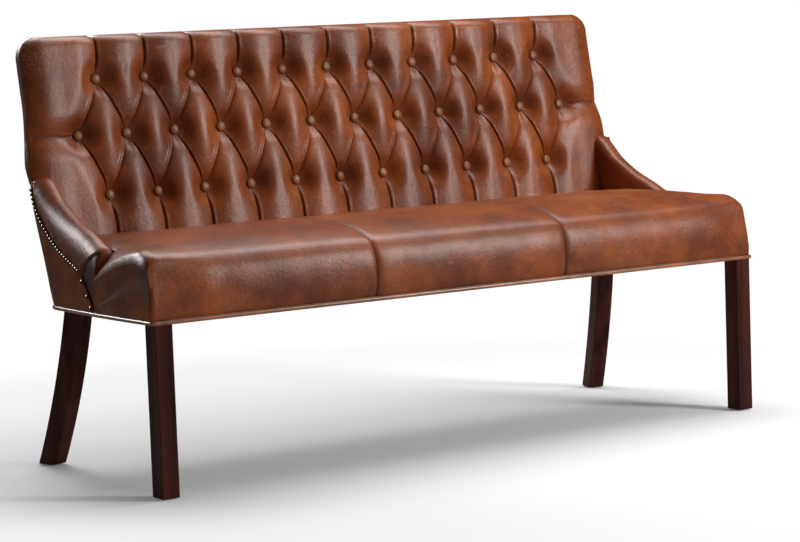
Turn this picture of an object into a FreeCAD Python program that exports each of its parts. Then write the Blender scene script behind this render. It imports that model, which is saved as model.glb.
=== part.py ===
"""Upholstered banquette bench: timber frame, sprung seat, button back, leather covers and four legs.

Millimetres. +X along the bench, the sitter faces -Y, +Z up. The origin is on the floor, under the middle
of the bench.
"""
import FreeCAD
import Part
import math
import os

os.makedirs("parts", exist_ok=True)

# Overall sizes
overall_depth = 638.0
overall_height = 944.0
body_half = 808.0
base_height = 359.5
rail_height = 76.5
frame_top = base_height + rail_height
seat_rise = 167.5
seat_crown = base_height + seat_rise
seat_bulge = 8.0
seat_front_face = seat_bulge - overall_depth / 2
back_inset = 18.0
back_half = body_half - back_inset

# Leather, gaps and cuts
leather = 2.0
foam_gap = 0.7
seat_gap = 0.3
overrun = 40.0

# Lean of the back: backwards run for each unit of height
lean_share = 0.1634
bend_rise = 53.0
bend_height = seat_crown + bend_rise
back_rear_depth = 34.5
rear_edge_drop = 6.0
back_rear_top = overall_depth / 2 - rear_edge_drop * lean_share
rear_foot_inset = 44.042
rear_foot = back_rear_top - back_rear_depth - (overall_height - bend_height) * lean_share - rear_foot_inset

# Timber frame
rail = 25.0
frame_inset = 6.0
frame_half = body_half - frame_inset
frame_front_inset = 10.0
frame_front = seat_front_face + frame_front_inset
front_block = 40.0
rear_block_radius = 80.0
rear_rail_inset = 19.0
rear_rail_back = rear_foot - rear_rail_inset
side_panel_width = 553.0
seam_place = body_half - side_panel_width
cross_rail_width = 45.0
cross_rail_height = 50.0
cross_rail_shift = 10.0
cross_rail_place = seam_place + cross_rail_shift
glue_block = 55.0
glue_block_height = 48.0
post_inset = 94.0
post_inner = body_half - post_inset
post_width = 37.0
post_depth = 26.0
post_rear_inset = 10.0
upright_width = 36.0
upright_front = 8.5
upright_rear_inset = 3.0
top_rail_drop = 29.0
top_rail_top = overall_height - top_rail_drop
top_rail_height = 35.0
tuck_rise = 44.0
tuck_rail_bottom = frame_top + tuck_rise
tuck_rail_height = 30.0
tuck_rail_depth = 25.0
arm_panel = 18.0
arm_panel_cover = 8.0
brace_height = 40.0
brace_rise = 33.0
brace_bottom = seat_crown + brace_rise
brace_inner_set = 48.0
brace_inner_front = rear_foot + brace_inner_set
brace_outer_set = 2.0
brace_outer_front = rear_foot + brace_outer_set
brace_bend = 9.0

# Legs
leg_width = 40.0
front_leg_depth = 44.0
front_leg_inset = 8.0
front_leg_side = body_half - front_leg_inset
front_leg_step = 4.5
front_leg_face = seat_front_face - front_leg_step
leg_ease = 1.5
foot_chamfer = 1.0
rear_leg_depth = 50.0
rear_foot_depth = 47.0
rear_leg_inset = 76.0
rear_leg_x = body_half - rear_leg_inset
rear_leg_set = 12.0
rear_leg_y = rear_rail_back - rear_leg_set
rear_leg_sweep = 106.0
rear_leg_middle_sweep = 40.0
rear_leg_middle_share = 0.528512
rear_leg_splay_degrees = 18.0

# Leg fixings
bolt_radius = 4.0
bolt_clearance = 0.3
bolt_in_leg = 45.0
front_bolt_inset = 28.0
tee_flange_radius = 10.0
tee_flange = 1.5
tee_barrel_radius = 5.7
tee_barrel_length = 11.0
glide_radius = 11.0
glide_height = 2.5
glide_pin_radius = 1.4
glide_pin_length = 12.0

# Seat
seat_side_drop = 22.0
seam_dip = 2.5
seam_width = 14.0
seat_side_round = 25.0
seat_corner_round = 10.0
seat_shoulder = 12.0
seat_rear_set = 2.0
seat_rear = rear_foot + seat_rear_set
cover_lift = 10.1
cover_bottom = base_height + cover_lift
deck_rise = 11.2
deck_height = frame_top + deck_rise
felt = 4.5
ear_front_of_arm = 1.5
seat_edge_start = 76.0
seat_edge_reach = 80.0
seat_edge_fall = 100.0

# Springs
spring_wire = 3.5
spring_count = 8
spring_side_inset = 172.0
spring_spacing = 2 * (frame_half - spring_side_inset) / (spring_count - 1)
spring_bar = 30.0
spring_turns = 20
spring_front_inset = 12.0
spring_front = frame_front + spring_front_inset
spring_rear_inset = 13.0
spring_rear = rear_rail_back - spring_rear_inset
clip_width = 14.0
clip_plate = 1.2
clip_front = 6.0
clip_back = 4.5
wire_lift = 0.15

# Button back
front_round = 30.0
tufted_half = back_half - front_round
row_end_inset = 87.9
row_length = 11
button_pitch = 2 * (tufted_half - row_end_inset) / row_length
tuft_offset = 7.0
row_under_rail = 33.0
row_high = top_rail_top - top_rail_height - row_under_rail
tuft_drop = 80.0
tuft_foot = seat_crown - tuft_drop
middle_row_share = 0.6925
row_middle = tuft_foot + (row_high - tuft_foot) * middle_row_share
low_row_share = 0.3575
row_low = tuft_foot + (row_high - tuft_foot) * low_row_share
upright_pitch_share = 2.25
upright_shift = 0.05
upright_place = button_pitch * upright_pitch_share + upright_shift
puff = 30.0
seat_half = 15.0
pleat_half = 1.5
puff_bottom = 25.0
vertical_pleat = 12.0
pleat_top = 17.0
puff_top = 26.0
cover_tuck = 30.0
cover_foot = seat_crown - cover_tuck
top_roll = 18.0
end_pleat_start = 15.0
end_pleat_depth = 16.0
foam_rear = 6.0
foam_low_height = 10.0
foam_low_side_height = 20.0
foam_over_rail = 1.5

# Back edges
rear_round = 60.0
body_rear_round = 85.0
corner_round = 45.0
band_rise = 106.0
band_bottom = seat_crown + band_rise
band_step = 3.0
band_flare_half = body_half - band_step
band_flare_height = 67.0
band_flare_top = band_bottom + band_flare_height
side_pad_lift = 12.0
side_pad_bottom = band_bottom + side_pad_lift
side_pad_drop = 49.0
side_pad_top = overall_height - side_pad_drop
arm_thickness = 56.0
rear_seam = body_half - arm_thickness
front_end_angle = 0.32
rear_start_angle = 0.62
corner_drop_shares = (0.62, 0.35, 0.16)

# Buttons, twines and toggles
button_radius = 10.0
button_rim = 2.0
button_height = 7.0
button_lift = 0.6
twine_radius = 1.0
twine_hole_radius = 1.5
toggle_radius = 4.0
toggle = 2.0
web_width = 50.0
web = 1.6
web_front = 6.4
low_web_lift = 17.0
web_heights = (row_low + low_web_lift, row_middle, row_high)

# Arms
arm_set = 71.0
arm_front = -arm_set
arm_rear_set = 21.0
arm_rear = rear_foot + arm_rear_set
arm_low_drop = 74.0
arm_low = seat_crown - arm_low_drop
nail_rise = 168.0
arm_crest_drop = 28.0
arm_front_crest = seat_crown - arm_crest_drop
crest_rise = 141.0
arm_inner_roll = 32.0
arm_front_round = 9.0
arm_ease = 3.0
arm_cut = 33.0
seam_foot_drop = 2.6
seam_foot = cover_bottom - seam_foot_drop
seam_top_set = 60.0
seam_top_place = arm_front + seam_top_set
seam_foot_set = 5.0
seam_foot_place = arm_front + seam_foot_set
outside_pad_gap = 0.4
outside_pad_drop = 12.0
outside_pad_points = 7
nail_head_radius = 4.6
nail_head_height = 3.0
nail_pin_radius = 0.9
nail_pin_length = 12.0
nail_hole_gap = 0.15
nail_drop = 3.3
nail_pitch = 10.4
lone_nail_shares = (0.24, 0.6, 0.87)

# Piping and dust cover
piping_radius = 4.5
piping_corner = 10.0
piping_lift = 0.3
piping_side_gap = 0.1
piping_front_inset = 0.9
piping_rear_step = 1.8
dust_cover = 1.2
dust_inset = 10.0
dust_leg_gap = 5.0

# Shares along a half pitch of the button grid: place, height of the pleat in the puff's height
tuft_place_shares = (0.19, 0.36, 0.64, 0.81)
pleat_height_shares = (0.0, 0.12, 0.12, 0.0)

# Arm outlines: share of the arm's length from its front end, share of the rise
crest_shares = ((0.0, 0.0), (0.03, 0.03), (0.24, 0.21), (0.49, 0.4), (0.74, 0.65), (0.915, 0.91), (1.0, 1.0))
nail_shares = ((0.0, 0.0), (0.06, 0.035), (0.19, 0.1), (0.335, 0.185), (0.48, 0.28), (0.61, 0.385),
               (0.75, 0.535), (0.86, 0.685), (0.945, 0.835), (1.0, 1.0))

# Seat profile behind the front face: share of the way to the rear, share of the crown lost
seat_top_shares = ((0.06, 0.215), (0.28, 0.03), (0.5, 0.0), (0.74, 0.03), (1.0, 0.12))

# Seat's front face: shares of the height up to its bulge and its shoulder, and how the sides' drop lowers it
bulge_height_share = 0.2
shoulder_height_share = 0.42
shoulder_drop_share = 0.4
shoulder_bulge_share = 0.8
corner_height_share = 0.66

# Stations across the seat: shares of the way from the seam to the side's round, and across that round
side_station_shares = (0.35, 0.7, 1.0)
round_station_shares = (0.4, 0.7, 0.88, 0.97, 1.0)

# Rounded top edges of the seat at the side, in the middle and on top: shares of the reach in from the side
# and of the fall from the crown, at the start of the round and beside the arm
edge_start_shares = ((-0.05, 0.45), (0.1, 0.25), (0.45, 0.1))
edge_arm_shares = ((-0.05, 1.12), (0.2375, 0.64), (1.0, 0.16))


def vec(x, y, z):
    return FreeCAD.Vector(x, y, z)


def block(x_low, x_high, y_low, y_high, z_low, z_high):
    """Box between two corners."""
    return Part.makeBox(x_high - x_low, y_high - y_low, z_high - z_low, vec(x_low, y_low, z_low))


def prism_x(outline, x_low, x_high):
    """Solid with a (y, z) outline, run along X."""
    points = [vec(x_low, y, z) for y, z in outline]
    face = Part.Face(Part.makePolygon(points + points[:1]))
    return face.extrude(vec(x_high - x_low, 0, 0))


def prism_z(outline, z_low, z_high):
    """Solid with an (x, y) outline, run along Z."""
    points = [vec(x, y, z_low) for x, y in outline]
    face = Part.Face(Part.makePolygon(points + points[:1]))
    return face.extrude(vec(0, 0, z_high - z_low))


def line(start, end):
    return Part.LineSegment(start, end).toShape()


def arc(start, middle, end):
    return Part.Arc(start, middle, end).toShape()


def closed_run(points, bends):
    """Wire through points; bends[i] is the middle point of an arc from point i, or None for a line."""
    edges = []
    for index, start in enumerate(points):
        end = points[(index + 1) % len(points)]
        middle = bends[index]
        edges.append(line(start, end) if middle is None else arc(start, middle, end))
    return Part.Wire(edges)


def loft(wires):
    return Part.makeLoft(wires, True, True)


def drill(solid, radius, height, x, y, z):
    """Take an upright hole out of a solid."""
    return solid.cut(Part.makeCylinder(radius, height, vec(x, y, z)))


def mirrored(shape):
    return shape.mirror(vec(0, 0, 0), vec(1, 0, 0))


def save(name, *shapes):
    shape = shapes[0] if len(shapes) == 1 else Part.makeCompound(list(shapes))
    shape.exportStep("parts/" + name + ".step")


def save_pair(stem, shape):
    save(stem + "_right", shape)
    save(stem + "_left", mirrored(shape))


def along(shares, place):
    """Value of a table of shares at a place between its first and last."""
    for (low, low_value), (high, high_value) in zip(shares, shares[1:]):
        if place <= high:
            return low_value + (high_value - low_value) * (place - low) / (high - low)
    return shares[-1][1]


# Surfaces that the pieces share

def button_plane(z):
    """Y of the plane that the buttons sit on."""
    return back_rear_top - back_rear_depth - (overall_height - z) * lean_share


def rear_line(z):
    """Y of the leather behind the bench."""
    if z >= bend_height:
        return button_plane(z) + back_rear_depth
    top = button_plane(bend_height) + back_rear_depth
    return rear_foot + (top - rear_foot) * (z - base_height) / (bend_height - base_height)


def crest(y):
    """Height of the arm's top at y."""
    return arm_front_crest + crest_rise * along(crest_shares, (y - arm_front) / (arm_rear - arm_front))


def nail_line(y):
    """Height of the nail row on the outside of the arm at y."""
    return arm_low + nail_rise * along(nail_shares, (y - seam_top_place) / (arm_rear - seam_top_place))


def round_drop(radius, into):
    """Fall of a quarter round, a distance into it."""
    return radius - math.sqrt(radius ** 2 - into ** 2)


post_front_height = post_rear_inset + post_depth - back_rear_depth
side_rail_front = frame_front + front_block
rear_block_place = frame_half - rear_block_radius
rear_block_front = rear_rail_back - rear_block_radius


# Seat frame

def make_seat_frame():
    block_inner = frame_half - front_block
    save("front_seat_rail", block(-block_inner, block_inner, frame_front, frame_front + rail,
                                  base_height, frame_top))
    save("rear_seat_rail", block(-rear_block_place, rear_block_place, rear_rail_back - rail, rear_rail_back,
                                 base_height, frame_top))
    side_rail = block(frame_half - rail, frame_half, side_rail_front, rear_block_front,
                      base_height, frame_top)
    nail_bores = Part.makeCompound(nail_shafts(nail_pin_radius + nail_hole_gap))
    save_pair("side_seat_rail", side_rail.cut(nail_bores))
    cross = [block(place - cross_rail_width / 2, place + cross_rail_width / 2, frame_front + rail,
                   rear_rail_back - rail, base_height, base_height + cross_rail_height)
             for place in (-cross_rail_place, cross_rail_place)]
    save("seat_cross_rails", *cross)
    glue_blocks = []
    for side in (-1, 1):
        for face in (-1, 1):
            for y, way in ((frame_front + rail, 1), (rear_rail_back - rail, -1)):
                x = side * cross_rail_place + face * cross_rail_width / 2
                glue_blocks.append(prism_z([(x, y), (x + face * glue_block, y), (x, y + way * glue_block)],
                                           base_height, base_height + glue_block_height))
    save("glue_blocks", *glue_blocks)

    front = block(block_inner, frame_half, frame_front, side_rail_front, base_height, frame_top)
    save_pair("front_corner_block", bored(front, front_bolt_x, front_bolt_y))
    rear_centre = vec(rear_block_place, rear_block_front, base_height)
    quarter = Part.makeCylinder(rear_block_radius, rail_height, rear_centre, vec(0, 0, 1), 90)
    save_pair("rear_corner_block", bored(quarter, rear_leg_x, rear_leg_y))


front_bolt_x = front_leg_side - leg_width / 2
front_bolt_y = front_leg_face + front_bolt_inset


def bored(solid, x, y):
    """Corner block with its bolt hole and the tee nut's wider bore."""
    solid = drill(solid, bolt_radius + bolt_clearance, rail_height, x, y, base_height)
    return drill(solid, tee_barrel_radius + bolt_clearance, tee_barrel_length, x, y,
                 frame_top - tee_barrel_length)


# Legs and their fixings

def glide_hole(x, y):
    return Part.makeCylinder(glide_pin_radius + bolt_clearance, glide_pin_length, vec(x, y, glide_height))


def leg_bolt_hole(x, y):
    hole_depth = bolt_in_leg + bolt_clearance
    return Part.makeCylinder(bolt_radius + bolt_clearance, hole_depth, vec(x, y, base_height - hole_depth))


def chamfer_foot(leg):
    """Take the sharp edge off the bottom of a leg."""
    edges = [edge for edge in leg.Edges if edge.BoundBox.ZMax < glide_height + foot_chamfer]
    return leg.makeChamfer(foot_chamfer, edges)


def make_front_leg():
    leg = block(front_leg_side - leg_width, front_leg_side, front_leg_face, front_leg_face + front_leg_depth,
                glide_height, base_height)
    upright_edges = [edge for edge in leg.Edges if edge.BoundBox.ZLength > base_height / 2]
    leg = chamfer_foot(leg.makeFillet(leg_ease, upright_edges))
    foot = (front_bolt_x, front_leg_face + front_leg_depth / 2)
    save_pair("front_leg", leg.cut(leg_bolt_hole(front_bolt_x, front_bolt_y)).cut(glide_hole(*foot)))
    return foot


def make_rear_leg():
    """Sabre leg: bowed in its own plane, then turned outward."""
    half = rear_leg_depth / 2
    foot_half = rear_foot_depth / 2
    side = -leg_width / 2
    middle_height = base_height * rear_leg_middle_share

    def place(back, height):
        return vec(side, back, height)

    top_front, top_rear = place(-half, base_height), place(half, base_height)
    foot_front = place(rear_leg_sweep - foot_half, glide_height)
    foot_rear = place(rear_leg_sweep + foot_half, glide_height)
    middle_front = place(rear_leg_middle_sweep - half, middle_height)
    middle_rear = place(rear_leg_middle_sweep + half, middle_height)
    outline = Part.Wire([line(top_rear, top_front), arc(top_front, middle_front, foot_front),
                         line(foot_front, foot_rear), arc(foot_rear, middle_rear, top_rear)])
    leg = Part.Face(outline).extrude(vec(leg_width, 0, 0))
    long_edges = [edge for edge in leg.Edges if edge.BoundBox.ZLength > base_height / 2]
    leg = chamfer_foot(leg.makeChamfer(leg_ease, long_edges))
    leg.rotate(vec(0, 0, 0), vec(0, 0, 1), -rear_leg_splay_degrees)
    leg.translate(vec(rear_leg_x, rear_leg_y, 0))
    splay = math.radians(rear_leg_splay_degrees)
    foot = (rear_leg_x + rear_leg_sweep * math.sin(splay), rear_leg_y + rear_leg_sweep * math.cos(splay))
    save_pair("rear_leg", leg.cut(leg_bolt_hole(rear_leg_x, rear_leg_y)).cut(glide_hole(*foot)))
    return foot


def make_leg_fixings(feet):
    bolts, nuts, glides = [], [], []
    for x, y in ((front_bolt_x, front_bolt_y), (rear_leg_x, rear_leg_y)):
        bolt = Part.makeCylinder(bolt_radius, bolt_in_leg + rail_height, vec(x, y, base_height - bolt_in_leg))
        nut = Part.makeCylinder(tee_flange_radius, tee_flange, vec(x, y, frame_top))
        barrel_foot = frame_top - tee_barrel_length
        nut = nut.fuse(Part.makeCylinder(tee_barrel_radius, tee_barrel_length, vec(x, y, barrel_foot)))
        nut = drill(nut, bolt_radius + bolt_clearance / 2, tee_barrel_length + tee_flange, x, y, barrel_foot)
        bolts += [bolt, mirrored(bolt)]
        nuts += [nut, mirrored(nut)]
    for x, y in feet:
        pad = Part.makeCylinder(glide_radius, glide_height, vec(x, y, 0))
        glide = pad.fuse(Part.makeCylinder(glide_pin_radius, glide_height + glide_pin_length - foot_chamfer,
                                           vec(x, y, 0)))
        glides += [glide, mirrored(glide)]
    save("leg_bolts", *bolts)
    save("tee_nuts", *nuts)
    save("foot_glides", *glides)


# Back frame

def sloped_board(front_inset, rear_inset, z_low, z_high):
    """(y, z) outline of a board that follows the rear leather, set in from it at front and rear."""
    heights = [z_low] + ([bend_height] if z_low < bend_height < z_high else []) + [z_high]
    rear = [(rear_line(z) - rear_inset, z) for z in heights]
    front = [(rear_line(z) - front_inset, z) for z in reversed(heights)]
    return rear + front


def lapped_board(front_inset, rear_inset, z_high):
    """Outline of an upright whose foot laps the rear rail."""
    board = sloped_board(front_inset, rear_inset, frame_top, z_high)
    return [(rear_rail_back, frame_top), (rear_rail_back, base_height),
            (rear_line(base_height) - rear_inset, base_height)] + board


def make_back_frame():
    post_outer = post_inner + post_width
    post_front = post_rear_inset + post_depth
    post = lapped_board(post_front, post_rear_inset, top_rail_top)
    save_pair("back_post", prism_x(post, post_inner, post_outer))

    upright_depth = back_rear_depth - upright_front
    rail_foot = top_rail_top - top_rail_height
    uprights = [prism_x(lapped_board(upright_depth, upright_rear_inset, rail_foot), place - upright_width / 2,
                        place + upright_width / 2) for place in (-upright_place, upright_place)]
    save("back_uprights", *uprights)
    save("top_back_rail", prism_x(sloped_board(upright_depth, upright_rear_inset, rail_foot, top_rail_top),
                                  -post_inner, post_inner))
    tuck = sloped_board(tuck_rail_depth, upright_rear_inset, tuck_rail_bottom,
                        tuck_rail_bottom + tuck_rail_height)
    inner = upright_place - upright_width / 2
    outer = upright_place + upright_width / 2
    save("tuck_rails", prism_x(tuck, -post_inner, -outer), prism_x(tuck, -inner, inner),
         prism_x(tuck, outer, post_inner))

    save_pair("arm_brace", arm_brace_form())

    straps = []
    for height in web_heights:
        low, high = height - web_width / 2, height + web_width / 2
        foot, head = button_plane(low) + web_front, button_plane(high) + web_front
        strap = prism_x([(foot, low), (head, high), (head + web, high), (foot + web, low)],
                        seat_gap - post_inner, post_inner - seat_gap)
        row = [hole for hole in twine_holes() if low < hole.BoundBox.Center.z < high]
        straps.append(strap.cut(Part.makeCompound(row)))
    save("back_webbing", *straps)


def arm_brace_form():
    """Short angled rail from the back post to the rear of the arm panel."""
    post_outer = post_inner + post_width
    panel_inner = frame_half - arm_panel
    inner_rear = rear_line(brace_bottom) - rear_clear(post_outer) - seat_gap
    outer_rear = rear_line(brace_bottom) - rear_clear(panel_inner) - seat_gap
    outline = [(post_outer, brace_inner_front), (post_outer + brace_bend, brace_inner_front),
               (panel_inner, brace_outer_front), (panel_inner, outer_rear), (post_outer, inner_rear)]
    return prism_z(outline, brace_bottom, brace_bottom + brace_height)


def rear_clear(x):
    """Depth from the rear leather behind the middle to the inside of the rounded rear corner at x."""
    inner_radius = body_rear_round - leather
    into = x - body_half + body_rear_round
    return body_rear_round - math.sqrt(inner_radius ** 2 - into ** 2)


# Arms

def nail_outline(lift):
    """(y, z) points of the nail row from its foot at the front to the back, raised by lift."""
    run = arm_rear - seam_top_place
    return [(seam_top_place + run * share, arm_low + nail_rise * rise + lift) for share, rise in nail_shares]


def outside_region(lift):
    """(y, z) outline of the outside panel's share of the arm: under the nails, behind the front seam."""
    end_y = rear_line(band_bottom) + overrun
    return ([(seam_foot_place, seam_foot + lift - overrun), (seam_foot_place, seam_foot + lift)]
            + nail_outline(lift)
            + [(arm_rear + leather, band_bottom + overrun), (end_y, band_bottom + overrun),
               (end_y, seam_foot + lift - overrun)])


def behind_back(depth):
    """(y, z) outline of all that lies behind the cut for the inside back."""
    low, high = base_height - overrun, overall_height
    return [(button_plane(low) - depth, low), (button_plane(high) - depth, high),
            (overall_depth, high), (overall_depth, low)]


def arm_section(y, inset, shrink):
    """Upright section across the arm."""
    outer = body_half - inset
    inner = body_half - arm_thickness + inset
    crest_x = (outer + inner) / 2
    top = crest(y) - inset - shrink
    spring = max(nail_line(y), arm_low) - shrink
    low_inner = crest(y) - arm_inner_roll - shrink
    foot = cover_bottom
    root = math.sqrt(0.5)
    points = [vec(inner, y, foot), vec(outer, y, foot), vec(outer, y, spring), vec(crest_x, y, top),
              vec(inner, y, low_inner)]
    outer_middle = vec(crest_x + (outer - crest_x) * root, y, spring + (top - spring) * root)
    inner_middle = vec(crest_x - (crest_x - inner) * root, y, low_inner + (top - low_inner) * root)
    return closed_run(points, [None, None, outer_middle, inner_middle, None])


def arm_envelope(inset):
    """Outer form of the arm, set in by inset."""
    front = arm_front + inset
    places = [arm_front + (arm_rear - arm_front) * share for share, rise in crest_shares[2:]]
    wires = [arm_section(front, inset, arm_front_round),
             arm_section(front + arm_ease, inset, arm_ease),
             arm_section(front + arm_front_round, inset, 0)]
    wires += [arm_section(y, inset, 0) for y in places]
    wires.append(arm_section(arm_rear + overrun, inset, 0))
    return loft(wires).cut(prism_x(behind_back(arm_cut), frame_half - overrun * 2, body_half + overrun))


def beside(start, end, share):
    """Point at a share of the way from start to end, in (y, z), moved by nail_drop to the line's right."""
    run_y, run_z = end[0] - start[0], end[1] - start[1]
    length = math.hypot(run_y, run_z)
    return (start[0] + run_y * share + nail_drop * run_z / length,
            start[1] + run_z * share - nail_drop * run_y / length)


def nail_places():
    """(y, z) of each nail: the close row along the arm, then the lone ones down the front seam."""
    places = []
    outline = nail_outline(0)
    left_over = nail_pitch / 2
    for start, end in zip(outline, outline[1:]):
        length = math.hypot(end[0] - start[0], end[1] - start[1])
        while left_over < length:
            places.append(beside(start, end, left_over / length))
            left_over += nail_pitch
        left_over -= length
    seam = ((seam_foot_place, seam_foot), outline[0])
    return places + [beside(*seam, 1 - share) for share in lone_nail_shares]


def nail_shafts(radius):
    """Bore or pin of each nail, from outside the leather into the arm panel."""
    start = body_half - nail_pin_length
    return [Part.makeCylinder(radius, nail_pin_length, vec(start, y, z), vec(1, 0, 0))
            for y, z in nail_places()]


def make_arms():
    holes = Part.makeCompound(nail_shafts(nail_pin_radius + nail_hole_gap))
    panel_inner = frame_half - arm_panel
    top = [(y, z + arm_panel_cover) for y, z in nail_outline(0)]
    board_front = arm_front + leather + foam_gap * 2
    outline = [(board_front, frame_top), (board_front, arm_low)] + top
    heights = (arm_low + nail_rise, bend_height, frame_top)
    outline += [(rear_line(z) - rear_clear(frame_half) - seat_gap, z) for z in heights]
    save_pair("arm_panel", prism_x(outline, panel_inner, frame_half).cut(holes))

    outer, skin, core = arm_envelope(0), arm_envelope(leather), arm_envelope(leather + foam_gap)
    far = body_half + overrun
    frame_room = block(0, frame_half + seat_gap, -overall_depth, overall_depth, 0, frame_top + seat_gap)
    cover = outer.cut(skin).cut(frame_room)
    cover = cover.cut(prism_x(outside_region(seat_gap), panel_inner, far))
    save_pair("arm_cover", cover)

    below_panel = [(y, z + seat_gap) for y, z in top]
    room = ([(board_front - overrun, 0), (board_front - overrun, arm_low + seat_gap)]
            + below_panel + [(arm_rear + overrun, below_panel[-1][1]), (arm_rear + overrun, 0)])
    foam = core.cut(prism_x(room, panel_inner - seat_gap, far)).cut(frame_room).cut(arm_brace_form())
    save_pair("arm_foam", foam)

    pad_outer = body_half - leather - outside_pad_gap
    pad_top = [(y, z - outside_pad_drop) for y, z in nail_outline(0)[:outside_pad_points]]
    pad_outline = ([(seam_foot_place + outside_pad_drop, cover_bottom)] + pad_top
                   + [(rear_line(z) - body_rear_round, z) for z in (pad_top[-1][1], cover_bottom)])
    save_pair("outside_arm_pad", prism_x(pad_outline, frame_half + outside_pad_gap, pad_outer))

    panel = body_skin().common(prism_x(outside_region(0), post_inner, far)).cut(holes)
    save_pair("outside_arm_panel", panel)

    nails = []
    for (y, z), pin in zip(nail_places(), nail_shafts(nail_pin_radius)):
        radius = (nail_head_radius ** 2 + nail_head_height ** 2) / (2 * nail_head_height)
        ball = Part.makeSphere(radius, vec(body_half + seat_gap + nail_head_height - radius, y, z))
        disc = Part.makeCylinder(nail_head_radius, nail_head_height, vec(body_half + seat_gap, y, z),
                                 vec(1, 0, 0))
        neck = Part.makeCylinder(nail_pin_radius, seat_gap, vec(body_half, y, z), vec(1, 0, 0))
        nails.append(disc.common(ball).fuse([neck, pin]))
    save_pair("arm_nails", Part.makeCompound(nails))


def body_skin():
    """Leather down the outside of the arm and round the rear corner, up to the seam behind."""
    side = [(rear_line(z) - body_rear_round, z) for z in (cover_bottom, bend_height, band_bottom - seat_gap)]
    plate = prism_x([(arm_front, side[-1][1]), (arm_front, cover_bottom)] + side,
                    body_half - leather, body_half)
    centre_x = body_half - body_rear_round
    wires = []
    for y, z in side:
        runs = []
        for radius in (body_rear_round, body_rear_round - leather):
            end_angle = math.acos((rear_seam - centre_x) / radius)
            runs.append([vec(centre_x + radius * math.cos(end_angle * share),
                             y + radius * math.sin(end_angle * share), z) for share in (0, 0.5, 1)])
        outer, inner = runs
        wires.append(Part.Wire([arc(*outer), line(outer[2], inner[2]), arc(*inner[::-1]),
                                line(inner[0], outer[0])]))
    return plate.fuse(loft(wires))


# Button back

def tuft_columns():
    """X and kind of each button column: 1 for the middle row, 0 for the outer rows."""
    count = 2 * row_length + 1
    first = tuft_offset - (row_length + 1) / 2 * button_pitch + button_pitch / 2
    return [(first + index * button_pitch / 2, (index + 1) % 2) for index in range(count)]


def button_places():
    """(x, z) of every button."""
    places = []
    for x, middle in tuft_columns():
        places += [(x, row_middle)] if middle else [(x, row_low), (x, row_high)]
    return places


def button_placement(x, z):
    """Placement with its Z axis out of the button plane at (x, z)."""
    lean = math.degrees(math.atan(lean_share))
    return FreeCAD.Placement(vec(x, button_plane(z), z), FreeCAD.Rotation(vec(1, 0, 0), 90 - lean))


def placed(shape, x, z):
    copy = shape.copy()
    copy.Placement = button_placement(x, z)
    return copy


def twine_holes():
    depth = web_front + web + toggle
    hole = Part.makeCylinder(twine_hole_radius, depth + button_height, vec(0, 0, -depth))
    return [placed(hole, x, z) for x, z in button_places()]


def tuft_station(x):
    """Sizes of the tufted front at x: pleat heights up the back and how far each puff stands out."""
    columns = tuft_columns()
    first, last = columns[0][0], columns[-1][0]
    if first < x < last:
        step = button_pitch / 2
        index = min(int((x - first) / step), len(columns) - 2)
        share = (x - columns[index][0]) / step
        mix = 1 - share if columns[index][1] else share
        near = min(range(len(tuft_place_shares)), key=lambda k: abs(tuft_place_shares[k] - share))
        pleat = puff * pleat_height_shares[near]
        at_button = pleat == 0
        mix = round(mix) if at_button else mix
    else:
        out = max(first - x, x - last)
        mix = 1
        at_button = out < end_pleat_start - pleat_half
        rise = 1 - (1 - min(1.0, out / (tufted_half - last))) ** 2
        pleat = 0.0 if at_button else end_pleat_depth * rise
    wide = seat_half if at_button else pleat_half
    upper = row_high + (row_middle - row_high) * mix
    lower = row_low + (row_middle - row_low) * mix
    near_in = -pleat_half / 2 if mix == 1 else wide
    side = math.sqrt(max(0.0, 1 - (1 - mix) ** 2))
    long_puff = vertical_pleat + (puff - vertical_pleat) * side
    diamond = max(puff * math.sqrt(max(0.0, 1 - mix ** 2)), pleat)
    top = pleat_top + (puff_top - pleat_top) * side
    foot = vertical_pleat + (puff_bottom - vertical_pleat) * side
    return (upper, lower, wide, near_in, pleat, long_puff, diamond, top, foot)


def front_run(x, inset):
    """Points and bends up the tufted front at x, from the foot to the rear of the top."""
    upper, lower, wide, near_in, pleat, long_puff, diamond, top, foot = tuft_station(x)
    roll_foot = overall_height - top_roll

    def place(height, z):
        return vec(x, button_plane(z) - height + inset, z)

    def middle(height, z0, z1):
        return place(height, (z0 + z1) / 2)

    marks = [(foot, cover_foot), (pleat, lower - wide), (pleat, lower + near_in), (pleat, upper - near_in),
             (pleat, upper + wide), (top, roll_foot), (top - top_roll, overall_height - inset)]
    points = [place(height, z) for height, z in marks]
    flat_diamond = diamond - pleat < pleat_half
    root = math.sqrt(0.5)
    roll_middle = vec(x, button_plane(roll_foot) - top + top_roll * (1 - root) + inset,
                      roll_foot + top_roll * root - inset * root)
    bends = [middle(long_puff, cover_foot, lower - wide), None,
             None if flat_diamond else middle(diamond, lower + near_in, upper - near_in), None,
             middle(long_puff, upper + wide, roll_foot), roll_middle]
    return points, bends


def tuft_places(limit):
    """X of every section of the tufted back within a limit each side."""
    columns = tuft_columns()
    step = button_pitch / 2
    places = []
    for x, middle in columns[:-1]:
        places += [x + step * share for share in tuft_place_shares]
    first, last = columns[0][0], columns[-1][0]
    seat = step * tuft_place_shares[0]
    places += [first - seat, last + seat, first - end_pleat_start, last + end_pleat_start]
    places += [-tufted_half, -post_inner + foam_gap, post_inner - foam_gap, tufted_half]
    return sorted(x for x in places if abs(x) <= limit)


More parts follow.
